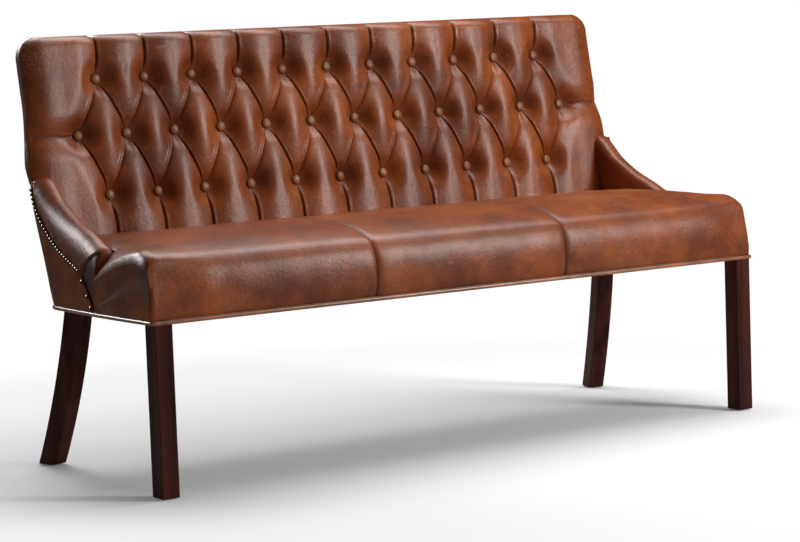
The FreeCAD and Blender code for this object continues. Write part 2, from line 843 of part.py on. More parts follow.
def cover_section(x):
    """Section of the inside back cover: leather up the front, over the top and to the rear."""
    outer, outer_bends = front_run(x, 0)
    inner, inner_bends = front_run(x, leather)
    top = overall_height
    rear = button_plane(top) + back_rear_depth - leather - seat_gap
    points = outer + [vec(x, rear, top), vec(x, rear, top - leather)] + inner[::-1]
    bends = outer_bends + [None, None, None] + inner_bends[::-1] + [None]
    return closed_run(points, bends)


def foam_section(x, rear_height, low_height, hooked):
    """Section of the back foam; the hooked ones reach over the top rail."""
    points, bends = front_run(x, leather + foam_gap)
    top = overall_height - leather - foam_gap
    over = top_rail_top + foam_over_rail
    hook = upright_rear_inset + leather + seat_gap
    rear = [(button_plane(bend_height) + rear_height, bend_height),
            (button_plane(cover_foot) + low_height, cover_foot)]
    if hooked:
        rear = [(rear_line(top) - hook, top), (rear_line(over) - hook, over),
                (button_plane(over) + rear_height, over)] + rear
    else:
        rear = [(button_plane(top) + rear_height, top)] + rear
    points += [vec(x, y, z) for y, z in rear]
    bends += [None] * (len(rear) + 1)
    return closed_run(points, bends)


def make_button_back():
    holes = Part.makeCompound(twine_holes())
    cover = loft([cover_section(x) for x in tuft_places(tufted_half)])
    save("inside_back_cover", cover.cut(holes))

    inner_limit = post_inner - foam_gap
    foam_limit = tufted_half - foam_gap
    foam = loft([foam_section(x, foam_rear, -foam_low_height, True) for x in tuft_places(inner_limit)])
    for side in ((-foam_limit, -inner_limit), (inner_limit, foam_limit)):
        foam = foam.fuse(loft([foam_section(x, -post_front_height - seat_gap, -foam_low_side_height, False)
                               for x in side]))
    save("back_foam", foam.cut(holes))

    button = button_form()
    twine = Part.makeCylinder(twine_radius, web_front + web + button_lift + seat_gap,
                              vec(0, 0, -web_front - web - seat_gap))
    toggle_disc = Part.makeCylinder(toggle_radius, toggle, vec(0, 0, -web_front - web - seat_gap - toggle))
    places = button_places()
    save("back_buttons", *[placed(button, x, z) for x, z in places])
    save("button_twines", *[placed(twine, x, z) for x, z in places])
    save("button_toggles", *[placed(toggle_disc, x, z) for x, z in places])


def button_form():
    """Domed covered button, its back at button_lift."""
    dome = button_height - button_rim
    radius = (button_radius ** 2 + dome ** 2) / (2 * dome)
    ball = Part.makeSphere(radius, vec(0, 0, button_lift + button_height - radius))
    return Part.makeCylinder(button_radius, button_height, vec(0, 0, button_lift)).common(ball)


def band_half(z):
    """Half width of the back at z, flared to the arms below and rounded at the top corners."""
    if z < band_flare_top:
        share = (z - band_bottom) / (band_flare_top - band_bottom)
        return band_flare_half + (back_half - band_flare_half) * share
    into = z - (overall_height - corner_round)
    return back_half - (round_drop(corner_round, into) if into > 0 else 0)


def rear_edge_round(z):
    """Radius of the back's rear edge at z, wider where the back meets the arms."""
    share = max(0.0, (band_flare_top - z) / (band_flare_top - band_bottom))
    return rear_round + (body_rear_round - rear_round) * share


def side_run(z, inset, rear_end):
    """(x, y) points round the edge of the back from its front face to the rear seam at rear_end."""
    half = band_half(z)
    edge_round = rear_edge_round(z)
    radius_front, radius_rear = front_round - inset, edge_round - inset
    front_y = button_plane(z) - puff - leather + front_round
    rear_y = button_plane(z) + back_rear_depth - edge_round
    front_x = half - front_round
    rear_x = half - edge_round
    start_angle = math.acos(max(-1.0, min(1.0, (tufted_half - front_x) / radius_front)))
    points = []
    for share in (1.0, 0.5, 0.0):
        angle = front_end_angle + (start_angle - front_end_angle) * share
        points.append(vec(front_x + radius_front * math.cos(angle),
                          front_y - radius_front * math.sin(angle), z))
    seam = max(rear_end, rear_x)
    end_angle = math.acos((seam - rear_x) / radius_rear)
    for share in (0.0, 0.5, 1.0):
        angle = rear_start_angle + (end_angle - rear_start_angle) * share
        points.append(vec(rear_x + radius_rear * math.cos(angle), rear_y + radius_rear * math.sin(angle), z))
    return points


def make_back_sides():
    heights = [band_bottom, band_flare_top, overall_height - corner_round]
    heights += [overall_height - corner_round * share for share in corner_drop_shares]
    wires = []
    for z in heights:
        outer = side_run(z, 0, rear_seam)
        inner = side_run(z, leather, rear_seam)
        wires.append(Part.Wire([arc(*outer[:3]), line(outer[2], outer[3]), arc(*outer[3:]),
                                line(outer[5], inner[5]), arc(inner[5], inner[4], inner[3]),
                                line(inner[3], inner[2]), arc(inner[2], inner[1], inner[0]),
                                line(inner[0], outer[0])]))
    save_pair("back_side_band", loft(wires))

    inner_x = post_inner + post_width + seat_gap
    wires = []
    for z in (side_pad_bottom, band_flare_top, side_pad_top):
        run = side_run(z, leather + foam_gap, rear_seam + foam_gap)
        inner_front = vec(inner_x, run[0].y, z)
        inner_rear = vec(inner_x, run[5].y, z)
        wires.append(Part.Wire([line(inner_front, run[0]), arc(*run[:3]), line(run[2], run[3]), arc(*run[3:]),
                                line(run[5], inner_rear), line(inner_rear, inner_front)]))
    pad = loft(wires)
    beside_post = block(post_inner, tufted_half + seat_gap, -overall_depth, overall_depth, 0, overall_height)
    behind_post = prism_x(behind_back(-post_front_height), post_inner - overrun, tufted_half + overrun)
    save_pair("back_side_pad", pad.cut(beside_post.cut(behind_post)))


def make_outside_back():
    """Plain leather panel behind the bench, bent at its two sides to meet the corners."""
    start = body_half - body_rear_round
    middle_x = (start + rear_seam) / 2
    top = overall_height - leather
    wires = []
    for x in (-rear_seam, -middle_x, -start, start, middle_x, rear_seam):
        drop = round_drop(body_rear_round, max(0, abs(x) - start))
        points = [vec(x, rear_line(z) - drop, z) for z in (cover_bottom, bend_height, top)]
        points += [vec(x, rear_line(z) - drop - leather, z) for z in (top, bend_height, cover_bottom)]
        wires.append(closed_run(points, [None] * 6))
    save("outside_back_panel", loft(wires))


# Seat

def seat_section(x, inset):
    """Section of the seat's outer form at x, set in by inset."""
    reach = abs(x)
    outer_end = body_half - inset
    drop = seat_side_drop * (reach / body_half) ** 3
    drop += seam_dip * max(0.0, 1 - abs(reach - seam_place) / seam_width)
    side_start = outer_end - seat_side_round
    if reach > side_start:
        drop += round_drop(seat_side_round, reach - side_start)
    back_in = round_drop(seat_corner_round, max(0.0, reach - outer_end + seat_corner_round)) + inset
    foot = cover_bottom - (overrun if inset else 0)
    rear = seat_rear + (overrun if inset else 0)
    face = seat_front_face + back_in
    run = seat_rear - seat_front_face
    height = seat_crown - cover_bottom
    bulge_z = cover_bottom + height * bulge_height_share
    shoulder_z = cover_bottom + height * shoulder_height_share - drop * shoulder_drop_share

    def top(index):
        place, loss = seat_top_shares[index]
        return vec(x, seat_front_face + back_in * (1 - place) + run * place,
                   seat_crown - height * loss - drop - inset)

    start = vec(x, face, foot)
    face_foot = vec(x, face, cover_bottom)
    bulge = vec(x, face - seat_bulge, bulge_z)
    shoulder = vec(x, face - seat_bulge * shoulder_bulge_share, shoulder_z)
    corner = vec(x, face + seat_shoulder / 2, shoulder_z + (top(0).z - shoulder_z) * corner_height_share)
    last = top(4)
    end = vec(x, rear, last.z)
    edges = [line(start, face_foot)] if inset else []
    edges += [arc(face_foot, bulge, shoulder), arc(shoulder, corner, top(0)), arc(top(0), top(1), top(2)),
              arc(top(2), top(3), last)]
    edges += [line(last, end)] if inset else []
    edges += [line(end, vec(x, rear, foot)), line(vec(x, rear, foot), start if inset else face_foot)]
    return Part.Wire(edges)


def seat_envelope(inset):
    end = body_half - inset
    side_start = end - seat_side_round
    places = [0.0, seam_place - seam_width, seam_place, seam_place + seam_width]
    places += [seam_place + (side_start - seam_place) * share for share in side_station_shares]
    places += [side_start + seat_side_round * share for share in round_station_shares]
    stations = sorted([-x for x in places if x] + places)
    return loft([seat_section(x, inset) for x in stations])


def edge_room(inset):
    """Room over the rounded edges of the seat beside the arms, set in by inset."""
    shift = inset * math.sqrt(0.5)
    wires = []
    for y, bend in ((seat_front_face + seat_edge_start, edge_start_shares), (arm_front, edge_arm_shares),
                    (arm_rear, edge_arm_shares)):
        side, middle, top = [vec(body_half - seat_edge_reach * reach - shift, y,
                                 seat_crown - seat_edge_fall * fall - shift) for reach, fall in bend]
        high_side, high_top = vec(side.x, y, overall_height), vec(top.x, y, overall_height)
        wires.append(Part.Wire([arc(side, middle, top), line(top, high_top), line(high_top, high_side),
                                line(high_side, side)]))
    room = loft(wires)
    return room.fuse(mirrored(room))


def make_seat():
    arm_side = body_half - arm_thickness - foam_gap
    far = body_half + overrun
    notch_front = arm_front - ear_front_of_arm
    notch = block(arm_side, far, notch_front, overall_depth, 0, overall_height)
    notches = notch.fuse(mirrored(notch))
    outer, skin, core = (seat_envelope(inset).cut(edge_room(inset))
                         for inset in (0, leather, leather + foam_gap))
    cover = outer.cut(skin).cut(notches)
    corner_room = block(post_inner - foam_gap, far, rear_rail_back, overall_depth, 0, overall_height)
    posts_room = corner_room.fuse(mirrored(corner_room))
    cover = cover.cut(posts_room)
    for name, start, end in (("centre", -seam_place, seam_place), ("right", seam_place, far),
                             ("left", -far, -seam_place)):
        panel = cover.common(block(start, end, -overall_depth, overall_depth, 0, overall_height))
        save("seat_cover_" + name, panel)

    clear = frame_half + outside_pad_gap
    under = block(-clear, clear, frame_front - outside_pad_gap, overall_depth, 0, deck_height)
    below = block(-far, far, -overall_depth, overall_depth, 0, cover_bottom + leather)
    foam = core.cut(notches).cut(under).cut(below)
    behind = block(-far, far, seat_rear - leather, overall_depth, 0, overall_height)
    save("seat_foam", foam.cut(posts_room).cut(behind))

    felt_half = post_inner - foam_gap
    save("spring_felt", block(-felt_half, felt_half, frame_front + rail / 4, rear_rail_back,
                              deck_height - felt - seat_gap, deck_height - seat_gap))


def make_springs():
    pitch = (spring_rear - spring_front) / spring_turns
    wire_z = frame_top + clip_plate + spring_wire / 2 + wire_lift
    bar = spring_bar / 2
    springs, clips = [], []
    for index in range(spring_count):
        x = (index - (spring_count - 1) / 2) * spring_spacing
        edges = []
        for turn in range(spring_turns + 1):
            y = spring_front + turn * pitch
            way = 1 if turn % 2 == 0 else -1
            edges.append(line(vec(x - way * bar, y, wire_z), vec(x + way * bar, y, wire_z)))
            if turn < spring_turns:
                edges.append(arc(vec(x + way * bar, y, wire_z),
                                 vec(x + way * (bar + pitch / 2), y + pitch / 2, wire_z),
                                 vec(x + way * bar, y + pitch, wire_z)))
        path = Part.Wire(edges)
        ring = Part.Wire([Part.makeCircle(spring_wire / 2, vec(x - bar, spring_front, wire_z), vec(1, 0, 0))])
        springs.append(path.makePipeShell([ring], True, False))
        for y, way in ((spring_front, 1), (spring_rear, -1)):
            clips.append(spring_clip(x, y, way))
    save("seat_springs", *springs)
    save("spring_clips", *clips)


def spring_clip(x, y, way):
    """Folded plate that holds the last bar of a spring on its rail."""
    wire_room = spring_wire + 2 * wire_lift
    low, high = frame_top, frame_top + 2 * clip_plate + wire_room
    back = y - way * clip_back
    front = y + way * clip_front
    outline = [(front, low), (back, low), (back, high), (front - way * clip_plate, high),
               (front - way * clip_plate, high - clip_plate), (back + way * clip_plate, high - clip_plate),
               (back + way * clip_plate, low + clip_plate), (front, low + clip_plate)]
    return prism_x(outline, x - clip_width / 2, x + clip_width / 2)


# Piping and dust cover

def make_piping():
    z = base_height + piping_lift + piping_radius
    side = frame_half + piping_radius + piping_side_gap
    front = seat_front_face + piping_front_inset
    rear = rear_line(z) + piping_rear_step
    root = math.sqrt(0.5)
    small, large = piping_corner, body_rear_round

    def corner(cx, cy, radius, way_x, way_y):
        """Start, middle and end of a corner, counterclockwise from its first flank."""
        return (vec(cx + way_x[0] * radius, cy + way_y[0] * radius, z),
                vec(cx + way_x[1] * radius, cy + way_y[1] * radius, z),
                vec(cx + way_x[2] * radius, cy + way_y[2] * radius, z))

    corners = [corner(side - small, front + small, small, (0, root, 1), (-1, -root, 0)),
               corner(side - large, rear - large, large, (1, root, 0), (0, root, 1)),
               corner(large - side, rear - large, large, (0, -root, -1), (1, root, 0)),
               corner(small - side, front + small, small, (-1, -root, 0), (0, -root, -1))]
    edges = []
    for index, (start, middle, end) in enumerate(corners):
        edges.append(arc(start, middle, end))
        edges.append(line(end, corners[(index + 1) % 4][0]))
    path = Part.Wire(edges[-1:] + edges[:-1])
    start = corners[3][2]
    ring = Part.Wire([Part.makeCircle(piping_radius, start, vec(1, 0, 0))])
    save("bottom_piping", path.makePipeShell([ring], True, False))


def make_dust_cover():
    side = frame_half - dust_inset
    front = frame_front + dust_inset / 2
    rear = rear_rail_back - dust_inset / 2
    leg_in = front_leg_side - leg_width - dust_leg_gap
    leg_back = front_leg_face + front_leg_depth + dust_leg_gap
    rear_leg_in = rear_leg_x - leg_width
    rear_leg_front = rear_leg_y - rear_leg_depth / 2 - leg_width / 2
    half = [(leg_in, front), (leg_in, leg_back), (side, leg_back), (side, rear_leg_front),
            (rear_leg_in, rear_leg_front), (rear_leg_in, rear)]
    outline = half + [(-x, y) for x, y in reversed(half)]
    save("dust_cover", prism_z(outline, base_height - dust_cover, base_height))


make_seat_frame()
make_leg_fixings([make_front_leg(), make_rear_leg()])
make_back_frame()
make_arms()
make_button_back()
make_back_sides()
make_outside_back()
make_seat()
make_springs()
make_piping()
make_dust_cover()
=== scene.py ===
"""Leather banquette bench with a buttoned back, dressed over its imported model.

Metres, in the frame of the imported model: +X along the bench, the sitter faces -Y, +Z up, the floor at zero.
"""
import logging
import math
from collections.abc import Callable
from dataclasses import dataclass
from enum import Enum

import bmesh
import bpy
import numpy as np
from mathutils import Matrix, Vector


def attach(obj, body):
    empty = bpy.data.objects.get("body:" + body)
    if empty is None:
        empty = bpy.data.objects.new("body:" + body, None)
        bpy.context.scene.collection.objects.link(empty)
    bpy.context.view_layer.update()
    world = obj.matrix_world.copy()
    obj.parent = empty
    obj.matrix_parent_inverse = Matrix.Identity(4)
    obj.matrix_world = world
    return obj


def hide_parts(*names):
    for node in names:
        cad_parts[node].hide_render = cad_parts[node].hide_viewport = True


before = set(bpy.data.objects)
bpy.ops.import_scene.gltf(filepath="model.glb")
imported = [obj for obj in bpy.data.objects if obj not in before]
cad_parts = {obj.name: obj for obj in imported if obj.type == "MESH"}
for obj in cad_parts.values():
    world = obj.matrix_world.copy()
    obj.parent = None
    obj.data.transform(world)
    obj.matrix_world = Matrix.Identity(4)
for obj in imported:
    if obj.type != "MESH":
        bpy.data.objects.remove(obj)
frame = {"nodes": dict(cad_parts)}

log = logging.getLogger("bench")

Points = np.ndarray
Colour = tuple[float, float, float]
LEATHER_SEED = 11
LEATHER = 0.002
FACE_AT = 0.9999


# Numbers and curves


def smooth(value: Points) -> Points:
    """Ease a share from 0 to 1, flat at both ends.

    Args:
        value: Shares, also from outside 0 to 1.

    Returns:
        The eased shares.
    """
    share = np.clip(value, 0.0, 1.0)
    return share * share * (3 - 2 * share)


def between(value: Points, start: float, end: float) -> Points:
    """Eased share of the way from start to end."""
    return smooth((value - start) / (end - start))


def walked(line: Points) -> Points:
    """Length walked along a line at each of its points."""
    return np.concatenate([[0], np.cumsum(np.hypot(*np.diff(line, axis=0).T))])


def crowded(count: int, strength: float) -> Points:
    """Shares from 0 up to 1, set closer beside both ends."""
    share = np.linspace(0, 1, count, endpoint=False)
    return share - np.sin(math.tau * share) / math.tau * strength


def curve_through(knots: list[tuple[float, float]], samples: int = 24) -> Points:
    """Smooth curve through knots.

    Args:
        knots: Points in the plane.
        samples: Points made on each run.

    Returns:
        The curve's points, evenly spread along it.
    """
    ends = [np.array(knots[0]) * 2 - knots[1], *map(np.array, knots), np.array(knots[-1]) * 2 - knots[-2]]
    shares = np.linspace(0, 1, samples, endpoint=False)[:, None]
    runs = []
    for before, start, end, after in zip(ends, ends[1:], ends[2:], ends[3:]):
        slope_in, slope_out = (end - before) / 2, (after - start) / 2
        runs.append(start * (2 * shares ** 3 - 3 * shares ** 2 + 1)
                    + slope_in * (shares ** 3 - 2 * shares ** 2 + shares)
                    + end * (3 * shares ** 2 - 2 * shares ** 3) + slope_out * (shares ** 3 - shares ** 2))
    line = np.vstack([*runs, ends[-2][None]])
    length = walked(line)
    even = np.linspace(0, length[-1], len(line))
    return np.column_stack([np.interp(even, length, line[:, k]) for k in range(2)])


def along(line: Points, share: Points) -> tuple[Points, Points]:
    """Both coordinates of a curve at shares of its length."""
    places = np.linspace(0, 1, len(line))
    return np.interp(share, places, line[:, 0]), np.interp(share, places, line[:, 1])


def ripple(points: Points, size: float, seed: int) -> Points:
    """Slow uneven swell over points.

    Args:
        points: One row for each point.
        size: Length of a swell.
        seed: Choice of the pattern.

    Returns:
        Values from about -1 to 1.
    """
    dice = np.random.default_rng(seed)
    total = np.zeros(len(points))
    for step in range(6):
        way = dice.normal(size=points.shape[1])
        way *= math.tau / (size * (0.7 + 0.25 * step)) / np.linalg.norm(way)
        total += np.sin(points @ way + dice.uniform(0, math.tau))
    return total / 3.4


# Mesh steps


def deselect() -> None:
    """Leave nothing selected."""
    bpy.ops.object.select_all(action="DESELECT")


def choose(piece: bpy.types.Object) -> None:
    """Make a piece the only selected one, and active."""
    deselect()
    piece.select_set(True)
    bpy.context.view_layer.objects.active = piece


def named(name: str) -> bpy.types.Object:
    """Name the active object and its mesh."""
    piece = bpy.context.object
    piece.name = name
    piece.data.name = name
    return piece


def add_grid(name: str, columns: int, rows: int) -> bpy.types.Object:
    """Flat grid from 0 to 1 in X and Y.

    Args:
        name: Piece's name.
        columns: Cells along X.
        rows: Cells along Y.

    Returns:
        The new piece.
    """
    deselect()
    bpy.ops.mesh.primitive_grid_add(x_subdivisions=columns, y_subdivisions=rows, size=1, location=(0.5, 0.5, 0))
    bpy.ops.object.transform_apply(location=True)
    return named(name)


def edit(piece: bpy.types.Object, *steps: Callable[[], object]) -> None:
    """Take steps in edit mode with all of a piece selected.

    Args:
        piece: Piece to edit.
        steps: Operators, called in turn.
    """
    choose(piece)
    bpy.ops.object.mode_set(mode="EDIT")
    bpy.ops.mesh.select_all(action="SELECT")
    for step in steps:
        step()
    bpy.ops.object.mode_set(mode="OBJECT")


def add_block(name: str, cuts: int) -> bpy.types.Object:
    """Cube from -1 to 1 with its faces cut into even cells."""
    deselect()
    bpy.ops.mesh.primitive_cube_add(size=2)
    piece = named(name)
    edit(piece, lambda: bpy.ops.mesh.subdivide(number_cuts=cuts))
    return piece


def add_object(name: str, data: bpy.types.ID) -> bpy.types.Object:
    """Put a curve, lamp or camera into the scene."""
    made = bpy.data.objects.new(name, data)
    bpy.context.scene.collection.objects.link(made)
    return made


def points_of(piece: bpy.types.Object) -> Points:
    """A mesh's points, one row each."""
    points = np.empty(len(piece.data.vertices) * 3)
    piece.data.vertices.foreach_get("co", points)
    return points.reshape(-1, 3)


def shape(piece: bpy.types.Object, place: Callable[[Points], Points]) -> None:
    """Move every point of a piece.

    Args:
        piece: Piece to shape.
        place: Takes the points, one row each, and gives their new places, with or without the share of painted crease
            shade.
    """
    placed = place(points_of(piece))
    piece.data.vertices.foreach_set("co", placed[:, :3].ravel())
    piece.data.update()
    if placed.shape[1] > 3:
        mark_crease_shade(piece, placed[:, 3])


def mark_crease_shade(piece: bpy.types.Object, crease_shade: Points) -> None:
    """Keep the share of painted crease shade at each point of a mesh, for its material."""
    attribute = piece.data.attributes.new("crease_shade", "FLOAT", "POINT")
    attribute.data.foreach_set("value", np.asarray(crease_shade, dtype=np.float32))


def face_outwards(piece: bpy.types.Object) -> None:
    """Merge a closed mesh's doubles and turn its normals out."""
    edit(piece, lambda: bpy.ops.mesh.remove_doubles(threshold=1e-6), bpy.ops.mesh.normals_make_consistent)


def smooth_shade(piece: bpy.types.Object, degrees: float = 180.0) -> None:
    """Shade a piece smooth, with edges sharper than an angle left crisp."""
    choose(piece)
    if degrees >= 180:
        bpy.ops.object.shade_smooth()
    else:
        bpy.ops.object.shade_smooth_by_angle(angle=math.radians(degrees))


def close_behind(piece: bpy.types.Object, *steps: Callable[[Points], Points]) -> None:
    """Close a grid into a solid, drawing its border back step by step and filling the last loop.

    Args:
        piece: Grid to close.
        steps: Each gives the next loop's points from the points of the last; the final loop is flat.
    """
    choose(piece)
    bpy.ops.object.mode_set(mode="EDIT")
    bpy.ops.mesh.select_all(action="SELECT")
    bpy.ops.mesh.region_to_loop()
    for place in steps:
        bpy.ops.mesh.extrude_edges_move()
        net = bmesh.from_edit_mesh(piece.data)
        border = [point for point in net.verts if point.select]
        for point, new in zip(border, place(np.array([point.co[:] for point in border]))):
            point.co = Vector(new)
        bmesh.update_edit_mesh(piece.data)
    bpy.ops.mesh.edge_face_add()
    bpy.ops.object.mode_set(mode="OBJECT")


def thicken(piece: bpy.types.Object) -> None:
    """Give a sheet its leather's thickness, inwards from its face."""
    sheet = piece.modifiers.new("Solidify", "SOLIDIFY")
    sheet.thickness = LEATHER
    sheet.offset = -1.0
    choose(piece)
    bpy.ops.object.modifier_apply(modifier=sheet.name)


def join(pieces: list[bpy.types.Object], name: str) -> bpy.types.Object:
    """Join pieces into one under a name."""
    choose(pieces[0])
    for piece in pieces:
        piece.select_set(True)
    bpy.ops.object.join()
    return named(name)


def copies(piece: bpy.types.Object, places: list[Vector], turn: tuple[float, float, float]) -> list[bpy.types.Object]:
    """Copy a piece to places, each copy with its own mesh and its place in it.

    Args:
        piece: Piece at the origin; it is removed.
        places: Where the copies go.
        turn: Euler angles of every copy.

    Returns:
        The copies.
    """
    made = []
    for place in places:
        choose(piece)
        bpy.ops.object.duplicate()
        copy = bpy.context.object
        copy.location = place
        copy.rotation_euler = turn
        bpy.ops.object.transform_apply(location=True, rotation=True, scale=True)
        made.append(copy)
    bpy.data.objects.remove(piece)
    return made


def fit(piece: bpy.types.Object, slot: str, material: bpy.types.Material, *nodes: str) -> None:
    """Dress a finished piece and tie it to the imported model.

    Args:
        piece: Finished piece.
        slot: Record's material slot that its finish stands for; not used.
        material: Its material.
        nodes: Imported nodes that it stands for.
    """
    piece.data.materials.clear()
    piece.data.materials.append(material)
    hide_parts(*nodes)
    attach(piece, "root")
    log.info("%s: %d faces for %s", piece.name, len(piece.data.polygons), ", ".join(nodes))


# Materials


class Nodes:
    """A node tree under construction."""

    def __init__(self, tree: bpy.types.NodeTree) -> None:
        """Start on a tree."""
        self.tree = tree

    def add(self, kind: str, **settings: object) -> bpy.types.Node:
        """Add a node of a kind, with its properties and, by name or place, its input values.

        Args:
            kind: Node type without its prefix.
            settings: Properties; a dictionary named inputs holds input values or sockets.

        Returns:
            The new node.
        """
        node = self.tree.nodes.new("ShaderNode" + kind)
        inputs = settings.pop("inputs", {})
        for setting, value in settings.items():
            setattr(node, setting, value)
        for socket, value in inputs.items():
            if isinstance(value, bpy.types.NodeSocket):
                self.tree.links.new(value, node.inputs[socket])
            else:
                node.inputs[socket].default_value = value
        return node

    def math(self, operation: str, first: object, second: object = 0.5) -> bpy.types.NodeSocket:
        """Sum, product or other arithmetic of two values or sockets."""
        return self.add("Math", operation=operation, inputs={0: first, 1: second}).outputs[0]

    def noise(self, where: object, scale: float, detail: float = 4, roughness: float = 0.55) -> bpy.types.NodeSocket:
        """Noise over a place."""
        return self.add("TexNoise", inputs={"Vector": where, "Scale": scale, "Detail": detail,
                                            "Roughness": roughness}).outputs["Fac"]

    def window(self, value: object, low: float, high: float, to_low: float = 0.0,
               to_high: float = 1.0) -> bpy.types.NodeSocket:
        """Map a value from one span to another, held at its ends."""
        return self.add("MapRange", inputs={"Value": value, "From Min": low, "From Max": high, "To Min": to_low,
                                            "To Max": to_high}).outputs["Result"]

    def give(self, out: bpy.types.Node, **sockets: bpy.types.NodeSocket) -> bpy.types.NodeTree:
        """Link sockets to a node's inputs of the same names, and return the tree."""
        for name, socket in sockets.items():
            self.tree.links.new(socket, out.inputs[name])
        return self.tree

    def mix(self, share: object, first: object, second: object, blend: str = "MIX") -> bpy.types.NodeSocket:
        """Mix two colours."""
        node = self.add("Mix", data_type="RGBA", blend_type=blend)
        for socket, value in ((node.inputs[0], share), (node.inputs[6], first), (node.inputs[7], second)):
            if isinstance(value, bpy.types.NodeSocket):
                self.tree.links.new(value, socket)
            elif isinstance(value, tuple):
                socket.default_value = (*value, 1.0)
            else:
                socket.default_value = value
        return node.outputs[2]


def new_group(name: str, takes: dict[str, str]) -> tuple[Nodes, dict, bpy.types.Node]:
    """Empty node group that puts out a finish's colour, gloss and height.

    Args:
        name: Group's name.
        takes: Input names and their kinds.

    Returns:
        The tree's builder, its input sockets by name, and its output node.
    """
    tree = bpy.data.node_groups.new(name, "ShaderNodeTree")
    for sockets, way in ((takes, "INPUT"), ({"Color": "Color", "Roughness": "Float", "Height": "Float"}, "OUTPUT")):
        for socket, kind in sockets.items():
            tree.interface.new_socket(socket, in_out=way, socket_type="NodeSocket" + kind)
    source = tree.nodes.new("NodeGroupInput")
    return Nodes(tree), {socket: source.outputs[socket] for socket in takes}, tree.nodes.new("NodeGroupOutput")


def hide_group() -> bpy.types.NodeTree:
    """Colour, gloss and grain of aged hide, with painted shade in its creases, built once.

    Returns:
        The group.
    """
    nodes, takes, out = new_group(
        "aged_hide",
        {"Place": "Vector", "Tan": "Color", "Brown": "Color", "Dark": "Color", "Worn": "Color", "CreaseShade": "Float"})
    place = takes["Place"]
    clouds = nodes.window(nodes.noise(place, 6.5, 5, 0.6), 0.36, 0.66)
    colour = nodes.mix(clouds, takes["Brown"], takes["Tan"])
    blotches = nodes.window(nodes.noise(place, 38, 6, 0.65), 0.3, 0.7, 0.78, 1.2)
    colour = nodes.mix(1.0, colour, nodes.add("CombineColor", inputs={0: blotches, 1: blotches,
                                                                     2: blotches}).outputs[0], "MULTIPLY")
    fine = nodes.noise(place, 210, 3, 0.6)
    colour = nodes.mix(nodes.window(fine, 0.55, 0.8, 0.0, 0.35), colour, takes["Dark"])
    patches = nodes.window(nodes.noise(place, 9.0, 3, 0.5), 0.54, 0.68)
    streaks = nodes.add("Mapping", inputs={"Vector": place, "Rotation": (0.5, 0.9, 0.4), "Scale": (14, 150, 60)})
    scratches = nodes.window(nodes.noise(streaks.outputs[0], 1.0, 2, 0.5), 0.66, 0.74)
    scuffs = nodes.math("MULTIPLY", scratches, patches)
    cells = nodes.add("TexVoronoi", feature="DISTANCE_TO_EDGE", inputs={"Vector": place, "Scale": 120.0,
                                                                       "Randomness": 1.0}).outputs["Distance"]
    crackle_patch = nodes.window(nodes.noise(place, 7.3, 2, 0.5), 0.56, 0.64)
    crackle = nodes.math("MULTIPLY", nodes.window(cells, 0.0, 0.12, 1.0, 0.0), crackle_patch)
    worn = nodes.math("MINIMUM", nodes.math("ADD", nodes.math("MULTIPLY", scuffs, 0.55),
                                            nodes.math("MULTIPLY", crackle, 0.3)), 1.0)
    colour = nodes.mix(worn, colour, takes["Worn"])
    # Painted shade: the hide darkens towards its dark colour by the share given for creases, button pits, seams and the
    # seat's corner pleat.
    colour = nodes.mix(takes["CreaseShade"], colour, takes["Dark"])
    grain = nodes.add("TexVoronoi", feature="F1", inputs={"Vector": place, "Scale": 620.0}).outputs["Distance"]
    creases = nodes.window(nodes.noise(place, 95, 4, 0.6), 0.4, 0.6)
    height = nodes.math("ADD", nodes.math("MULTIPLY", grain, 0.35), nodes.math("MULTIPLY", creases, 0.55))
    height = nodes.math("SUBTRACT", height, nodes.math("MULTIPLY", worn, 0.5))
    gloss = nodes.math("ADD", nodes.window(clouds, 0.0, 1.0, 0.34, 0.29), nodes.math("MULTIPLY", fine, 0.1))
    gloss = nodes.math("ADD", gloss, nodes.math("MULTIPLY", takes["CreaseShade"], 0.2))
    return nodes.give(out, Color=colour, Roughness=gloss, Height=height)


def grain_group() -> bpy.types.NodeTree:
    """Colour, gloss and pores of straight grained wood, built once.

    Returns:
        The group.
    """
    nodes, takes, out = new_group(
        "straight_grain", {"Place": "Vector", "Light": "Color", "Dark": "Color"})
    bent = nodes.add("Mapping", inputs={"Vector": takes["Place"], "Scale": (34, 34, 2.2)}).outputs[0]
    bands = nodes.noise(bent, 1.0, 6, 0.6)
    pores = nodes.add("Mapping", inputs={"Vector": takes["Place"], "Scale": (900, 900, 34)}).outputs[0]
    pore = nodes.window(nodes.noise(pores, 1.0, 2, 0.5), 0.58, 0.7)
    colour = nodes.mix(nodes.window(bands, 0.35, 0.68), takes["Dark"], takes["Light"])
    colour = nodes.mix(nodes.math("MULTIPLY", pore, 0.5), colour, takes["Dark"])
    gloss = nodes.window(bands, 0.3, 0.7, 0.26, 0.36)
    height = nodes.math("SUBTRACT", nodes.math("MULTIPLY", bands, 0.4), nodes.math("MULTIPLY", pore, 0.6))
    return nodes.give(out, Color=colour, Roughness=gloss, Height=height)


class Group(Enum):
    """Node groups that the materials share."""

    HIDE = "aged_hide"
    WOOD = "straight_grain"

    def tree(self) -> bpy.types.NodeTree:
        """The group, built the first time that it is asked for."""
        if self.value in bpy.data.node_groups:
            return bpy.data.node_groups[self.value]
        return hide_group() if self is Group.HIDE else grain_group()


def start_material(name: str) -> tuple[Nodes, bpy.types.Node, bpy.types.NodeSocket]:
    """New material with its shader.

    Args:
        name: Material's name.

    Returns:
        The tree's builder, the shader and the object's own coordinates.
    """
    material = bpy.data.materials.new(name)
    material.use_nodes = True
    nodes = Nodes(material.node_tree)
    shader = material.node_tree.nodes["Principled BSDF"]
    return nodes, shader, nodes.add("TexCoord").outputs["Object"]


